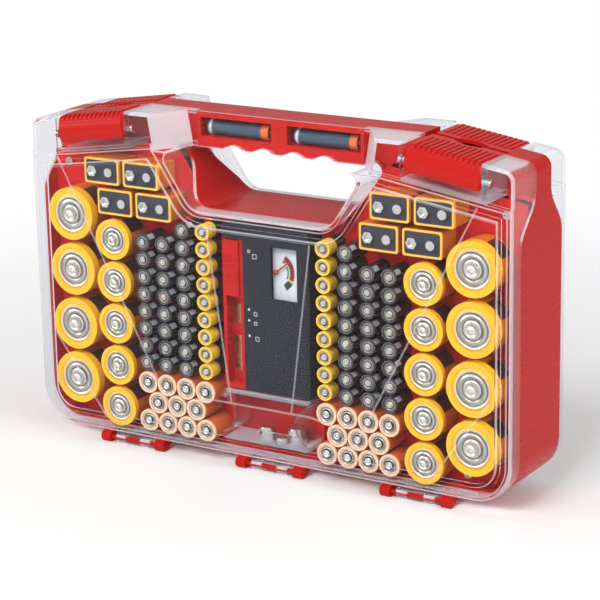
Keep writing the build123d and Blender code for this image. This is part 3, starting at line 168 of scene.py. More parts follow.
# ------------------------------------------------------------------ node helpers
def add_node(tree, kind, place, **settings):
    """A node of one kind, with its settings and its named inputs' values."""
    made = tree.nodes.new(kind)
    made.location = place
    inputs = settings.pop("inputs", {})
    for name, value in settings.items():
        setattr(made, name, value)
    for name, value in inputs.items():
        made.inputs[name].default_value = value
    return made


def new_material(name):
    """An empty node material with its output and Principled shader."""
    material = bpy.data.materials.new(name)
    material.use_nodes = True
    tree = material.node_tree
    tree.nodes.clear()
    output = add_node(tree, "ShaderNodeOutputMaterial", (900, 0))
    shader = add_node(tree, "ShaderNodeBsdfPrincipled", (600, 0))
    tree.links.new(shader.outputs["BSDF"], output.inputs["Surface"])
    return material, tree, shader


def object_point(tree):
    """The Object coordinates."""
    return add_node(tree, "ShaderNodeTexCoord", (-1100, 0)).outputs["Object"]


def new_group(name, takes, gives):
    """A node group with named sockets: takes are (name, kind, default) and gives are (name, kind)."""
    group = bpy.data.node_groups.new(name, "ShaderNodeTree")
    for title, kind, value in takes:
        socket = group.interface.new_socket(title, in_out="INPUT", socket_type=kind)
        if value is not None:
            socket.default_value = value
    for title, kind in gives:
        group.interface.new_socket(title, in_out="OUTPUT", socket_type=kind)
    start = add_node(group, "NodeGroupInput", (-1200, 0))
    end = add_node(group, "NodeGroupOutput", (900, 0))
    return group, start, end


def math_node(tree, operation, first, second=None, third=None, place=(0, 0), clamp=False):
    """A Math node whose inputs are sockets or numbers."""
    made = add_node(tree, "ShaderNodeMath", place, operation=operation, use_clamp=clamp)
    for slot, value in enumerate((first, second, third)):
        if value is None:
            continue
        if isinstance(value, (int, float)):
            made.inputs[slot].default_value = value
        else:
            tree.links.new(value, made.inputs[slot])
    return made.outputs[0]


def mix_colour(tree, factor, first, second, place=(0, 0)):
    """A colour Mix node whose inputs are sockets or values."""
    made = add_node(tree, "ShaderNodeMix", place, data_type="RGBA", blend_type="MIX")
    for slot, value in ((0, factor), (6, first), (7, second)):
        if isinstance(value, bpy.types.NodeSocket):
            tree.links.new(value, made.inputs[slot])
        else:
            made.inputs[slot].default_value = value
    return made.outputs[2]


def mix_shaders(tree, factor, first, second, place):
    """A Mix Shader node."""
    made = add_node(tree, "ShaderNodeMixShader", place)
    for slot, value in enumerate((factor, first, second)):
        tree.links.new(value, made.inputs[slot])
    return made.outputs[0]


def surface_output(tree):
    """The material's output node."""
    return next(node for node in tree.nodes if node.type == "OUTPUT_MATERIAL")


def seen_rays(tree, place):
    """1 for the rays that go to the camera, straight or through clear plastic."""
    rays = add_node(tree, "ShaderNodeLightPath", place)
    return math_node(
        tree, "MAXIMUM", rays.outputs["Is Camera Ray"], rays.outputs["Is Transmission Ray"],
        place=(place[0] + 200, place[1]),
    )


def noise(tree, point, scale, detail, place):
    """A noise texture's value at a point."""
    made = add_node(tree, "ShaderNodeTexNoise", place, inputs={"Scale": scale, "Detail": detail})
    tree.links.new(point, made.inputs["Vector"])
    return made.outputs["Fac"]


def spread(tree, value, start, stop, low, high, place, kind="LINEAR"):
    """A Map Range node that turns start to stop into low to high."""
    made = add_node(tree, "ShaderNodeMapRange", place, interpolation_type=kind)
    tree.links.new(value, made.inputs["Value"])
    for title, number in zip(("From Min", "From Max", "To Min", "To Max"), (start, stop, low, high)):
        made.inputs[title].default_value = number
    return made.outputs[0]


def between(tree, value, low, high, soft, place=(0, 0)):
    """1 where a value lies between two limits, with soft edges."""
    rise = spread(tree, value, low - soft, low + soft, 0.0, 1.0, place, "SMOOTHSTEP")
    fall_place = (place[0], place[1] - 180)
    fall = spread(tree, value, high - soft, high + soft, 1.0, 0.0, fall_place, "SMOOTHSTEP")
    return math_node(tree, "MULTIPLY", rise, fall, place=(place[0] + 200, place[1]))


def length_of(tree, across, up, place):
    """The distance from the origin of a point given by two sockets."""
    left, top = place
    squares = math_node(
        tree, "ADD", math_node(tree, "MULTIPLY", across, across, place=(left - 200, top + 150)),
        math_node(tree, "MULTIPLY", up, up, place=(left - 200, top - 150)), place=place,
    )
    return math_node(tree, "SQRT", squares, place=(left + 200, top))


def split(tree, vector, place=(0, 0)):
    """A vector's three parts."""
    made = add_node(tree, "ShaderNodeSeparateXYZ", place)
    tree.links.new(vector, made.inputs[0])
    return made.outputs


def group_node(tree, group, place, **inputs):
    """A placed node group; its inputs are sockets or values."""
    made = add_node(tree, "ShaderNodeGroup", place, node_tree=group)
    for name, value in inputs.items():
        socket = made.inputs[name.replace("_", " ")]
        if isinstance(value, bpy.types.NodeSocket):
            tree.links.new(value, socket)
        else:
            socket.default_value = value
    return made


def bump_from(tree, height, distance, strength=1.0, place=(350, -300)):
    """A Bump node's normal from a height."""
    made = add_node(tree, "ShaderNodeBump", place, inputs={"Strength": strength, "Distance": distance})
    tree.links.new(height, made.inputs["Height"])
    return made.outputs["Normal"]


# ------------------------------------------------------------------ shared effects
def moulded_group():
    """Moulded plastic: slow cloudiness in the colour, fine grain and rubbed streaks."""
    group, start, end = new_group(
        "moulded plastic",
        [("Point", "NodeSocketVector", None), ("Colour", "NodeSocketColor", (0.5, 0.5, 0.5, 1)),
         ("Cloudiness", "NodeSocketFloat", 0.12), ("Roughness", "NodeSocketFloat", 0.25)],
        [("Colour", "NodeSocketColor"), ("Roughness", "NodeSocketFloat"), ("Height", "NodeSocketFloat")],
    )
    clouds = add_node(
        group, "ShaderNodeTexNoise", (-800, 200), inputs={"Scale": 26.0, "Detail": 4.0, "Roughness": 0.6},
    )
    grain = noise(group, start.outputs["Point"], 1500.0, 2.0, (-800, -50))
    stretch = add_node(group, "ShaderNodeMapping", (-1000, -300))
    stretch.inputs["Scale"].default_value = (60.0, 60.0, 420.0)
    stretch.inputs["Rotation"].default_value = (0.5, 0.4, 0.3)
    for texture in (clouds, stretch):
        group.links.new(start.outputs["Point"], texture.inputs["Vector"])
    streaks = noise(group, stretch.outputs[0], 1.0, 3.0, (-800, -300))
    shade = math_node(group, "SUBTRACT", clouds.outputs["Fac"], 0.5, place=(-600, 250))
    shade = math_node(group, "MULTIPLY", shade, start.outputs["Cloudiness"], place=(-400, 250))
    value = math_node(group, "ADD", shade, 1.0, place=(-200, 250))
    tinted = add_node(group, "ShaderNodeHueSaturation", (0, 250))
    group.links.new(start.outputs["Colour"], tinted.inputs["Color"])
    group.links.new(value, tinted.inputs["Value"])
    group.links.new(tinted.outputs[0], end.inputs["Colour"])
    rubbed = spread(group, streaks, 0.45, 0.75, 0.0, 0.06, (-600, -300))
    rough = math_node(group, "ADD", rubbed, start.outputs["Roughness"], place=(-300, -250))
    group.links.new(rough, end.inputs["Roughness"])
    group.links.new(grain, end.inputs["Height"])
    return group


def column_group():
    """A point's angle and distance round the axis of the nearest cell of a column, and its depth."""
    group, start, end = new_group(
        "cell in a column",
        [("Point", "NodeSocketVector", None), ("Column", "NodeSocketFloat", 0.1),
         ("Top", "NodeSocketFloat", 0.1), ("Pitch", "NodeSocketFloat", 0.03),
         ("Spacing", "NodeSocketFloat", 1.0), ("Front", "NodeSocketFloat", 0.0)],
        [("Angle", "NodeSocketFloat"), ("Radius", "NodeSocketFloat"), ("Depth", "NodeSocketFloat")],
    )
    x, y, z = split(group, start.outputs["Point"], (-1000, 0))
    side = math_node(group, "SIGN", x, place=(-800, 200))
    centre = math_node(group, "MULTIPLY", side, start.outputs["Column"], place=(-600, 200))
    offset = math_node(group, "SUBTRACT", x, centre, place=(-500, 400))
    widest = math_node(group, "MULTIPLY", start.outputs["Spacing"], 0.5, place=(-700, 500))
    narrowest = math_node(group, "MULTIPLY", widest, -1.0, place=(-500, 600))
    across = math_node(group, "WRAP", offset, widest, narrowest, place=(-300, 400))
    lowered = math_node(group, "SUBTRACT", z, start.outputs["Top"], place=(-800, -100))
    half = math_node(group, "MULTIPLY", start.outputs["Pitch"], 0.5, place=(-800, -300))
    minus = math_node(group, "MULTIPLY", half, -1.0, place=(-600, -300))
    up = math_node(group, "WRAP", lowered, half, minus, place=(-400, -100))
    group.links.new(math_node(group, "ARCTAN2", up, across, place=(0, 100)), end.inputs["Angle"])
    group.links.new(length_of(group, across, up, (0, -50)), end.inputs["Radius"])
    depth = math_node(group, "SUBTRACT", y, start.outputs["Front"], place=(0, -350))
    group.links.new(depth, end.inputs["Depth"])
    return group


def edge_group():
    """Masks of a moulding's rounded and sloping edges, the fine lines on its panels and its tops, where the
    clear finish puts its painted highlight.
    """
    group, start, end = new_group(
        "moulded edges",
        [("Point", "NodeSocketVector", None), ("Normal", "NodeSocketVector", None),
         ("Line Level", "NodeSocketFloat", 1.0)],
        [("Edges", "NodeSocketFloat"), ("Lines", "NodeSocketFloat"), ("Tops", "NodeSocketFloat")],
    )
    turned = split(group, start.outputs["Normal"], (-1000, 200))
    facing = math_node(group, "ABSOLUTE", turned[1], place=(-800, 200))
    group.links.new(between(group, turned[2], 0.9, 2.0, 0.06, place=(-600, 600)), end.inputs["Tops"])
    group.links.new(between(group, facing, 0.16, 0.93, 0.04, place=(-600, 200)), end.inputs["Edges"])
    depth = split(group, start.outputs["Point"], (-1000, -200))[1]
    level = math_node(group, "ABSOLUTE", depth, place=(-800, -200))
    raised = math_node(group, "GREATER_THAN", level, start.outputs["Line Level"], place=(-600, -200))
    group.links.new(raised, end.inputs["Lines"])
    return group


GROUPS = {}


def shared(name, build):
    """A node group, built once."""
    if name not in GROUPS:
        GROUPS[name] = build()
    return GROUPS[name]


# ------------------------------------------------------------------ finishes
def moulded_finish(name, colour, roughness=0.22, cloudiness=0.12, grain=0.1, specular=0.5):
    """Opaque moulded plastic."""
    material, tree, shader = new_material(name)
    skin = group_node(
        tree, shared("moulded", moulded_group), (100, 0),
        Point=object_point(tree), Colour=colour, Cloudiness=cloudiness, Roughness=roughness,
    )
    tree.links.new(skin.outputs["Colour"], shader.inputs["Base Color"])
    tree.links.new(skin.outputs["Roughness"], shader.inputs["Roughness"])
    tree.links.new(bump_from(tree, skin.outputs["Height"], 0.0002, grain), shader.inputs["Normal"])
    shader.inputs["IOR"].default_value = 1.5
    shader.inputs["Specular IOR Level"].default_value = specular
    return material


def clear_finish(name, colour, edge_highlight, roughness, line_level=FAR_OFF):
    """Clear moulded plastic: thin-walled, so it bends light little, with a painted highlight in its edges,
    raised lines and tops, and a painted reflection where its wall is seen at a slant.
    """
    material, tree, shader = new_material(name)
    coordinates = add_node(tree, "ShaderNodeTexCoord", (-1100, 0))
    point = coordinates.outputs["Object"]
    waves = noise(tree, point, 30.0, 2.0, (-500, -300))
    marks = noise(tree, point, 420.0, 3.0, (-500, 100))
    rough = spread(tree, marks, 0.45, 0.8, roughness, roughness + 0.05, (-200, 100))
    tree.links.new(rough, shader.inputs["Roughness"])
    tree.links.new(bump_from(tree, waves, 0.001, 0.05), shader.inputs["Normal"])
    shader.inputs["Base Color"].default_value = colour
    shader.inputs["Transmission Weight"].default_value = 1.0
    shader.inputs["IOR"].default_value = 1.1
    # how much painted highlight is mixed in: in edges, raised lines and tops, and painted reflection where
    # the wall is seen at a slant
    edges = group_node(
        tree, shared("edges", edge_group), (-700, 600),
        Point=point, Normal=coordinates.outputs["Normal"], Line_Level=line_level,
    )
    # painted reflection: whitish where the wall is seen at a slant
    turned = add_node(tree, "ShaderNodeLayerWeight", (-200, 450), inputs={"Blend": 0.5})
    steep = math_node(tree, "POWER", turned.outputs["Facing"], 3.0, place=(0, 450))
    slant_reflection = math_node(tree, "MULTIPLY_ADD", steep, 0.5, 0.004, place=(200, 450))
    edged = math_node(tree, "MULTIPLY", edges.outputs["Edges"], edge_highlight, place=(0, 650))
    lined = math_node(tree, "MULTIPLY", edges.outputs["Lines"], 0.3, place=(0, 800))
    topped = math_node(tree, "MULTIPLY_ADD", edges.outputs["Tops"], 0.22, edged, place=(200, 850))
    both = math_node(tree, "ADD", topped, lined, place=(200, 700))
    factor = math_node(tree, "ADD", both, slant_reflection, place=(400, 600), clamp=True)
    # a whitish diffuse shader mixed over the clear one as painted highlight and painted reflection
    painted_highlight_shader = add_node(tree, "ShaderNodeBsdfPrincipled", (600, -400))
    painted_highlight_shader.inputs["Base Color"].default_value = PAINTED_HIGHLIGHT_WHITE
    painted_highlight_shader.inputs["Roughness"].default_value = 0.22
    body = mix_shaders(tree, factor, shader.outputs[0], painted_highlight_shader.outputs[0], (760, -150))
    # lamps shine straight through it
    rays = add_node(tree, "ShaderNodeLightPath", (600, 350))
    passed = add_node(tree, "ShaderNodeBsdfTransparent", (760, -500))
    passed.inputs["Color"].default_value = (0.95, 0.95, 0.95, 1)
    whole = mix_shaders(tree, rays.outputs["Is Shadow Ray"], body, passed.outputs[0], (900, 150))
    output = surface_output(tree)
    output.location = (1100, 0)
    tree.links.new(whole, output.inputs["Surface"])
    return material


def metal_finish(name, colour, roughness=0.22):
    """Bare or plated metal with a faint cloudiness."""
    material, tree, shader = new_material(name)
    point = object_point(tree)
    patches = noise(tree, point, 130.0, 2.0, (-500, 200))
    rough = spread(tree, patches, 0.3, 0.7, roughness, roughness + 0.08, (-200, 200))
    tree.links.new(rough, shader.inputs["Roughness"])
    darker = tuple(c * 0.86 for c in colour[:3]) + (1,)
    tree.links.new(mix_colour(tree, patches, colour, darker, (200, 200)), shader.inputs["Base Color"])
    shader.inputs["Metallic"].default_value = 1.0
    return material


def cap_finish(name, column, top, pitch, radius, ring, painted_light_rings=LARGE_PAINTED_LIGHT_RINGS, spacing=FAR_OFF,
               between_rows=None):
    """A cell's pressed metal end, with turned rings in its bump, bright and dark rings of painted highlight
    and painted shade in its colour, and the sleeve folded over its rim.
    """
    material, tree, shader = new_material(name)
    point = object_point(tree)
    rows = [(column, top)] + ([between_rows] if between_rows else [])
    distances = [
        group_node(
            tree, shared("column", column_group), (-900, -400 * row),
            Point=point, Column=x, Top=z, Pitch=pitch, Spacing=spacing, Front=CELL_FRONT,
        ).outputs["Radius"]
        for row, (x, z) in enumerate(rows)
    ]
    distance = distances[0]
    if between_rows:
        distance = math_node(tree, "MINIMUM", *distances, place=(-800, -200))
    share = math_node(tree, "DIVIDE", distance, radius, place=(-700, 0))
    colour = tuple(0.62 * c for c in END_METAL) + (1,)
    # painted highlight and painted shade: bright and dark rings painted into the end's colour
    for row, (low, high, shade) in enumerate(painted_light_rings):
        mask = between(tree, share, low, high, 0.02, place=(-500, 300 - 250 * row))
        tint = tuple(min(0.95, shade * c) for c in END_METAL) + (1,)
        colour = mix_colour(tree, mask, colour, tint, (-100, 300 - 250 * row))
    wave = math_node(tree, "MULTIPLY", share, 24.0, place=(-300, -900))
    turned = math_node(tree, "SINE", wave, place=(-100, -900))
    tree.links.new(bump_from(tree, turned, 0.0005, 0.7), shader.inputs["Normal"])
    folded = between(tree, share, 0.86, 3.0, 0.012, place=(-500, -1300))
    colour = mix_colour(tree, folded, colour, ring, (100, 0))
    sheen = noise(tree, point, 160.0, 2.0, (-500, 700))
    tree.links.new(spread(tree, sheen, 0.0, 1.0, 0.24, 0.38, (-200, 700)), shader.inputs["Roughness"])
    tree.links.new(colour, shader.inputs["Base Color"])
    bare = math_node(tree, "MULTIPLY_ADD", folded, -0.85, 0.85, place=(300, -200))
    tree.links.new(bare, shader.inputs["Metallic"])
    return material


def lacquer(shader):
    """The thin gloss over a printed sleeve."""
    shader.inputs["Coat Weight"].default_value = 0.2
    shader.inputs["Coat Roughness"].default_value = 0.1


def sleeve_finish(name, wrap, ring, ring_depth, column, top, pitch, patch=None, patch_angles=(0.4, 1.2),
                  patch_depths=(4.0, 18.0), roughness=0.3, spacing=FAR_OFF):
    """A printed plastic sleeve on cells that stand in a column: an end ring and a printed patch."""
    material, tree, shader = new_material(name)
    point = object_point(tree)
    cell = group_node(
        tree, shared("column", column_group), (-800, 0),
        Point=point, Column=column, Top=top, Pitch=pitch, Spacing=spacing, Front=CELL_FRONT,
    )
    skin = group_node(
        tree, shared("moulded", moulded_group), (-200, 0),
        Point=point, Colour=wrap, Cloudiness=0.25, Roughness=roughness,
    )
    colour = skin.outputs["Colour"]
    if patch:
        near, far = (depth * MM for depth in patch_depths)
        angle = between(tree, cell.outputs["Angle"], *patch_angles, 0.02, place=(-500, -300))
        depth = between(tree, cell.outputs["Depth"], near, far, 0.0001, place=(-500, -700))
        mask = math_node(tree, "MULTIPLY", angle, depth, place=(-100, -400))
        colour = mix_colour(tree, mask, colour, patch, (100, 100))
    ended = between(tree, cell.outputs["Depth"], -0.01, ring_depth * MM, 0.00008, place=(-500, 500))
    colour = mix_colour(tree, ended, colour, ring, (300, 150))
    tree.links.new(colour, shader.inputs["Base Color"])
    tree.links.new(skin.outputs["Roughness"], shader.inputs["Roughness"])
    tree.links.new(bump_from(tree, skin.outputs["Height"], 0.0001, 0.08), shader.inputs["Normal"])
    lacquer(shader)
    return material


def handle_cell_finish(name, slate, copper):
    """The handle cells' sleeve: slate, with a copper band at the right end and a pale line at the left."""
    material, tree, shader = new_material(name)
    point = object_point(tree)
    skin = group_node(
        tree, shared("moulded", moulded_group), (-300, 300),
        Point=point, Colour=slate, Cloudiness=0.25, Roughness=0.28,
    )
    x = split(tree, point, (-900, 0))[0]
    colour = skin.outputs["Colour"]
    for row, middle in enumerate((-HANDLE_CELL_X, HANDLE_CELL_X)):
        along = math_node(tree, "SUBTRACT", x, middle, place=(-700, -300 * row))
        band = between(tree, along, *HANDLE_BAND, 0.0001, place=(-500, -300 * row))
        colour = mix_colour(tree, band, colour, copper, (0, -300 * row))
        pale = between(tree, along, *HANDLE_LINE, 0.0001, place=(-500, -700 - 300 * row))
        colour = mix_colour(tree, pale, colour, PALE_PRINT, (200, -300 * row))
    tree.links.new(colour, shader.inputs["Base Color"])
    tree.links.new(skin.outputs["Roughness"], shader.inputs["Roughness"])
    lacquer(shader)
    return material


def dial_finish(name):
    """The meter's white card with its coloured arc round the needle's pivot."""
    material, tree, shader = new_material(name)
    point = object_point(tree)
    place = split(tree, point, (-900, 0))
    across = math_node(tree, "SUBTRACT", place[0], METER_PIVOT[0], place=(-700, 100))
    up = math_node(tree, "SUBTRACT", place[2], METER_PIVOT[1], place=(-700, -100))
    angle = math_node(tree, "ARCTAN2", up, across, place=(-500, 0))
    radius = length_of(tree, across, up, (-300, 200))
    speck = noise(tree, point, 900.0, 3.0, (-500, 600))
    colour = mix_colour(tree, speck, (0.86, 0.86, 0.84, 1), (0.76, 0.76, 0.75, 1), (-100, 600))
    # radii in metres, angles in radians and colour of each printed band
    bands = (
        ((0.0092, 0.0124), (-0.42, 1.05), (0.30, 0.008, 0.012, 1)),
        ((0.0092, 0.0124), (-0.56, -0.42), (0.80, 0.55, 0.02, 1)),
        ((0.0088, 0.0128), (-1.05, -0.56), (0.015, 0.09, 0.03, 1)),
        ((0.0072, 0.0086), (-0.50, 0.55), (0.05, 0.38, 0.22, 1)),
        ((0.0074, 0.0090), (0.80, 1.05), (0.62, 0.03, 0.01, 1)),
        ((0.0128, 0.0130), (-1.05, 1.05), (0.05, 0.05, 0.05, 1)),
    )
    for row, (reach, turn, tint) in enumerate(bands):
        near = between(tree, radius, *reach, 0.00006, place=(100, -300 * row))
        round_it = between(tree, angle, *turn, 0.01, place=(350, -300 * row))
        mask = math_node(tree, "MULTIPLY", near, round_it, place=(700, -300 * row))
        colour = mix_colour(tree, mask, colour, tint, (900, -300 * row))
    tree.links.new(colour, shader.inputs["Base Color"])
    shader.inputs["Roughness"].default_value = 0.55
    shader.location = (1200, 0)
    return material


def dress(names, material):
    """Gives CAD nodes a finish."""
    for name in names:
        mesh = NODES[name].data
        mesh.materials.clear()
        mesh.materials.append(material)


def sides(*names):
    """The left and the right node of each kind."""
    return [name + "_" + side for name in names for side in ("left", "right")]


# ------------------------------------------------------------------ operators
class CASE_OT_moulding(bpy.types.Operator):
    """Red moulded case, trays, latches and their steel pins"""

    bl_idname = "case.moulding"
    bl_label = "Dress the moulding"

    def execute(self, context):
        finish = context.scene.case_finish
        red = moulded_finish("red case plastic", tuple(finish.red), 0.26, 0.14, finish.grain, specular=0.09)
        dress(["case_body", "tester_channel", "tester_slider"], red)
        brighter = tuple(min(1.0, c * 1.12) for c in finish.red[:3]) + (1,)
        tray = moulded_finish("red tray plastic", brighter, 0.3, 0.18, finish.grain, specular=0.08)
        dress(["front_tray", "rear_tray"], tray)
        latch = moulded_finish("red latch plastic", brighter, 0.22, 0.1, finish.grain * 0.6, specular=0.14)
        dress(sides("front_latch", "rear_latch"), latch)
        dress(["front_latch_pins", "rear_latch_pins", "tray_screws", "tester_screws"],
              metal_finish("plated steel", STEEL))
        return {"FINISHED"}


class CASE_OT_lids(bpy.types.Operator):
    """Clear lids, coin cell bin and meter window"""

    bl_idname = "case.lids"
    bl_label = "Dress the clear pieces"

    def execute(self, context):
        tint = tuple(context.scene.case_finish.clear)
        dress(["front_lid", "rear_lid"], clear_finish("clear lid plastic", tint, 0.42, 0.02, LINE_LEVEL))
        dress(["coin_box"], clear_finish("clear bin plastic", tint, 0.3, 0.03))
        dress(["meter_window"], clear_finish("clear meter window", tint, 0.2, 0.02))
        return {"FINISHED"}


class CASE_OT_cells(bpy.types.Operator):
    """Printed sleeves and metal ends of every cell"""

    bl_idname = "case.cells"
    bl_label = "Dress the cells"

    def execute(self, context):
        finish = context.scene.cell_finish
        amber, yellow, black = tuple(finish.amber), tuple(finish.yellow), tuple(finish.black)
        copper, slate = tuple(finish.copper), tuple(finish.slate)
        dress(sides("d_cells"), sleeve_finish(
            "large sleeve", amber, yellow, 6.0, D_COLUMN, D_TOP, D_PITCH, DARK_PRINT))
        dress(sides("c_cells"), sleeve_finish(
            "medium sleeve", amber, yellow, 3.5, C_COLUMN, C_TOP, C_PITCH, DARK_PRINT))
        dress(sides("aaa_black_cells"), sleeve_finish(
            "black slim sleeve", black, DARK_RING, 1.0, SLIM_COLUMN, SLIM_TOP, AAA_PITCH,
            SILVER_PRINT, (0.35, 1.05), (1.4, 7.0), 0.25, SLIM_SPACING))
        dress(sides("aaa_yellow_cells"), sleeve_finish(
            "yellow slim sleeve", BROWN_SLEEVE, SLIM_YELLOW, 9.0, YELLOW_COLUMN, YELLOW_TOP, AAA_PITCH))
        dress(sides("aa_cells") + ["rear_aa_cells"], sleeve_finish(
            "copper sleeve", copper, PALE_COPPER, 1.3, AA_COLUMN, AA_TOP, AA_ROW))
        dress(sides("nine_volt_cells"), sleeve_finish(
            "block cell case", BLOCK_SLEEVE, BLOCK_RIM, 3.2, BLOCK_COLUMN, BLOCK_TOP, BLOCK_PITCH))
        dress(["handle_cells"], handle_cell_finish("slate sleeve", slate, copper))
        dress(["d_caps"], cap_finish("large cell ends", D_COLUMN, D_TOP, D_PITCH, D_CAP, yellow))
        dress(["c_caps"], cap_finish("medium cell ends", C_COLUMN, C_TOP, C_PITCH, C_CAP, yellow))
        dress(["aaa_black_caps"], cap_finish(
            "black slim cell ends", SLIM_COLUMN, SLIM_TOP, AAA_PITCH, AAA_CAP, DARK_RING,
            SLIM_PAINTED_LIGHT_RINGS, SLIM_SPACING))
        dress(["aaa_yellow_caps"], cap_finish(
            "yellow slim cell ends", YELLOW_COLUMN, YELLOW_TOP, AAA_PITCH, AAA_CAP, yellow, SLIM_PAINTED_LIGHT_RINGS))
        dress(["aa_caps"], cap_finish(
            "small cell ends", AA_COLUMN, AA_LOW, 2 * AA_ROW, AA_CAP, PALE_COPPER, SMALL_PAINTED_LIGHT_RINGS,
            AA_SPACING, (AA_COLUMN + AA_SPACING / 2, AA_LOW + AA_ROW)))
        dress(["rear_aa_caps", "nine_volt_terminals", "coin_cells", "meter_pivot"],
              metal_finish("nickel cell ends", NICKEL, 0.2))
        dress(["handle_caps", "tester_contacts"], metal_finish("copper cell ends", COPPER, 0.25))
        dress(["nine_volt_faces"],
              moulded_finish("block cell face", BLOCK_FACE, 0.45, 0.3, 0.1, specular=0.25))
        return {"FINISHED"}


def face_mark(corners, reach, x, height, turn=0.0, line=0.0):
    """One printed mark on the tester's face: a thin shape, or its outline where line is a width."""
    bpy.ops.object.select_all(action="DESELECT")
    bpy.ops.mesh.primitive_circle_add(
        vertices=corners, radius=reach * MM, fill_type="NGON",
        location=(x * MM, TESTER_FACE, height * MM), rotation=(math.radians(90), math.radians(turn), 0),
    )
    mark = bpy.context.object
    bpy.ops.object.mode_set(mode="EDIT")
    bpy.ops.mesh.select_all(action="SELECT")
    if line:
        bpy.ops.mesh.inset(thickness=line * MM)
        bpy.ops.mesh.delete(type="FACE")
        bpy.ops.mesh.select_all(action="SELECT")
    bpy.ops.mesh.extrude_region_move(TRANSFORM_OT_translate={"value": (0, -INK_HEIGHT * MM, 0)})
    bpy.ops.mesh.select_all(action="SELECT")
    bpy.ops.mesh.normals_make_consistent(inside=False)
    bpy.ops.object.mode_set(mode="OBJECT")
    bpy.ops.object.transform_apply(location=True, rotation=True, scale=True)
    return mark


class CASE_OT_tester(bpy.types.Operator):
    """Black tester with its meter, and the printed marks on its face"""

    bl_idname = "case.tester"
    bl_label = "Dress the tester"

    def execute(self, context):
        dress(["tester_housing", "tester_back", "meter_movement"],
              moulded_finish("black tester plastic", TESTER_BLACK, 0.36, 0.2, 0.1, specular=0.2))
        dress(["meter_dial"], dial_finish("meter card"))
        dress(["meter_needle"], moulded_finish("needle paint", NEEDLE_RED, 0.4))
        marks = [face_mark(3, ARROWHEAD_REACH, x, height) for x, height in ARROWHEADS]
        marks += [face_mark(4, reach, x, height, 45.0, OUTLINE_WIDTH) for x, height, reach in OUTLINES]
        bpy.ops.object.select_all(action="DESELECT")
        for mark in marks:
            mark.select_set(True)
        context.view_layer.objects.active = marks[0]
        bpy.ops.object.join()
        pointer = context.object
        pointer.name = "tester_pointer_marks"
        pointer.data.materials.append(moulded_finish("white ink", INK_WHITE, 0.5, 0.2))
        bpy.ops.object.transform_apply(location=True, rotation=True, scale=True)
        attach(pointer, "case")
        return {"FINISHED"}


def floor_finish():
    """Pale floor that takes the case's shadow and turns white for the camera further out."""
    material, tree, shader = new_material("studio floor")
    shader.inputs["Base Color"].default_value = FLOOR_WHITE
    shader.inputs["Roughness"].default_value = 0.9
    shader.inputs["Specular IOR Level"].default_value = 0.1
    length = add_node(tree, "ShaderNodeVectorMath", (-600, 200), operation="LENGTH")
    tree.links.new(object_point(tree), length.inputs[0])
    far = spread(tree, length.outputs["Value"], *FLOOR_FADE, 0.0, 1.0, (-300, 200), "SMOOTHSTEP")
    factor = math_node(tree, "MULTIPLY", far, seen_rays(tree, (0, 500)), place=(400, 400))
    white = add_node(tree, "ShaderNodeEmission", (600, -300), inputs={"Strength": 1.0})
    mixed = mix_shaders(tree, factor, shader.outputs[0], white.outputs[0], (780, 100))
    tree.links.new(mixed, surface_output(tree).inputs["Surface"])
    return material


def studio_world(surround):
    """A dim surround that lights the case, and white for the camera."""
    world = bpy.data.worlds.new("studio")
    world.use_nodes = True
    tree = world.node_tree
    tree.nodes.clear()
    output = add_node(tree, "ShaderNodeOutputWorld", (600, 0))
    dim = add_node(tree, "ShaderNodeBackground", (200, 100), inputs={"Strength": surround})
    bright = add_node(tree, "ShaderNodeBackground", (200, -100), inputs={"Strength": 1.0})
    for background in (dim, bright):
        background.inputs["Color"].default_value = (1, 1, 1, 1)
    seen = seen_rays(tree, (-200, 300))
    mixed = mix_shaders(tree, seen, dim.outputs[0], bright.outputs[0], (400, 0))
    tree.links.new(mixed, output.inputs["Surface"])
    return world


def add_lamps(power):
    """Three soft lamps that face the case's middle: name, place, size and share of the power."""
    lamps = (
        ("key_lamp", (0.1, -1.3, 1.5), 0.9, 1.0),
        ("side_lamp", (1.5, -0.3, 0.9), 0.7, 0.5),
        ("left_lamp", (-1.4, -0.9, 0.7), 0.6, 0.3),
    )
    middle = Vector((0, 0, 0.1))
    for name, place, size, share in lamps:
        bpy.ops.object.light_add(type="AREA", location=place)
        lamp = bpy.context.object
        lamp.name = name
        lamp.data.size = size
        lamp.data.energy = power * share
        lamp.rotation_euler = (middle - Vector(place)).to_track_quat("-Z", "Y").to_euler()


def add_camera(lens):
    """The photo's camera."""
    azimuth, elevation, roll = (
        math.radians(angle) for angle in (CAMERA_AZIMUTH, CAMERA_ELEVATION, CAMERA_ROLL)
    )
    level = math.cos(elevation)
    back = Vector((math.sin(azimuth) * level, -math.cos(azimuth) * level, math.sin(elevation)))
    right = (-back).cross(Vector((0, 0, 1))).normalized()
    up = right.cross(-back).normalized()
    turned_right = right * math.cos(roll) + up * math.sin(roll)
    turned_up = up * math.cos(roll) - right * math.sin(roll)
    bpy.ops.object.camera_add(location=(0, 0, 0))
    camera = bpy.context.object
    camera.name = "photo_camera"
    turn = Matrix((turned_right, turned_up, back)).transposed().to_4x4()
    camera.matrix_world = Matrix.Translation(CAMERA_PLACE) @ turn
    camera.data.lens = lens
    camera.data.sensor_width = SENSOR_WIDTH
    camera.data.clip_end = 50.0
    camera.data.dof.use_dof = False
    return camera


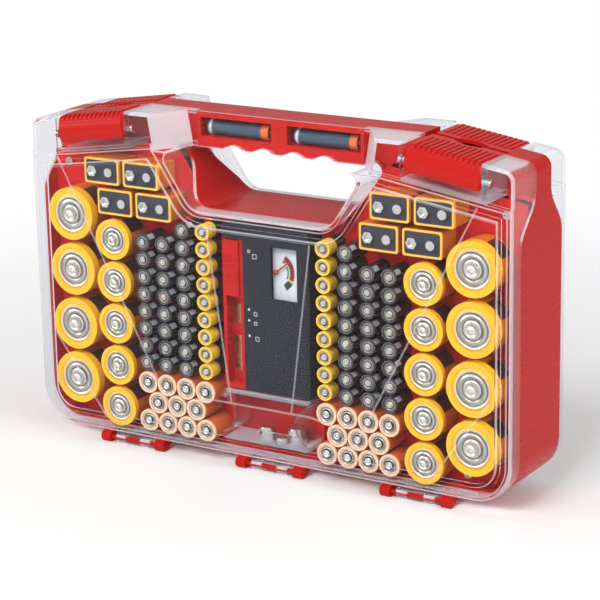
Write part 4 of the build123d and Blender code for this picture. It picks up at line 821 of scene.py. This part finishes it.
class CASE_OT_studio(bpy.types.Operator):
    """Pale floor, soft lamps, bright surround and the camera"""

    bl_idname = "case.studio"
    bl_label = "Set up the studio"

    def execute(self, context):
        setup = context.scene.studio_setup
        bpy.ops.object.select_all(action="DESELECT")
        bpy.ops.mesh.primitive_circle_add(
            vertices=96, radius=FLOOR_REACH, fill_type="NGON", location=(0, 0, FLOOR_LEVEL),
        )
        floor = context.object
        floor.name = "studio_floor"
        floor.data.materials.append(floor_finish())
        context.scene.world = studio_world(setup.surround)
        add_lamps(setup.lamp_power)
        context.scene.camera = add_camera(setup.lens)
        context.scene.view_settings.view_transform = "Standard"
        return {"FINISHED"}


class VIEW3D_PT_case(bpy.types.Panel):
    """Sidebar panel with the case's settings and steps"""

    bl_label = "Battery storage case"
    bl_space_type = "VIEW_3D"
    bl_region_type = "UI"
    bl_category = "Case"

    def draw(self, context):
        scene = context.scene
        for group, names in (
            (scene.case_finish, ("red", "clear", "grain")),
            (scene.cell_finish, ("amber", "yellow", "black", "copper", "slate")),
            (scene.studio_setup, ("lens", "lamp_power", "surround")),
        ):
            box = self.layout.box()
            for name in names:
                box.prop(group, name)
        for step in STEPS:
            self.layout.operator(step)


STEPS = ("case.moulding", "case.lids", "case.cells", "case.tester", "case.studio")
CLASSES = (
    CaseFinish, CellFinish, StudioSetup,
    CASE_OT_moulding, CASE_OT_lids, CASE_OT_cells, CASE_OT_tester, CASE_OT_studio,
    VIEW3D_PT_case,
)


def register():
    """Adds the classes and the scene's settings."""
    for cls in CLASSES:
        bpy.utils.register_class(cls)
    bpy.types.Scene.case_finish = bpy.props.PointerProperty(type=CaseFinish)
    bpy.types.Scene.cell_finish = bpy.props.PointerProperty(type=CellFinish)
    bpy.types.Scene.studio_setup = bpy.props.PointerProperty(type=StudioSetup)


def unregister():
    """Takes the settings and the classes away again."""
    del bpy.types.Scene.studio_setup
    del bpy.types.Scene.cell_finish
    del bpy.types.Scene.case_finish
    for cls in reversed(CLASSES):
        bpy.utils.unregister_class(cls)


def main():
    """Runs every step in order."""
    register()
    bpy.ops.case.moulding()
    bpy.ops.case.lids()
    bpy.ops.case.cells()
    bpy.ops.case.tester()
    bpy.ops.case.studio()


if __name__ == "__main__":
    main()
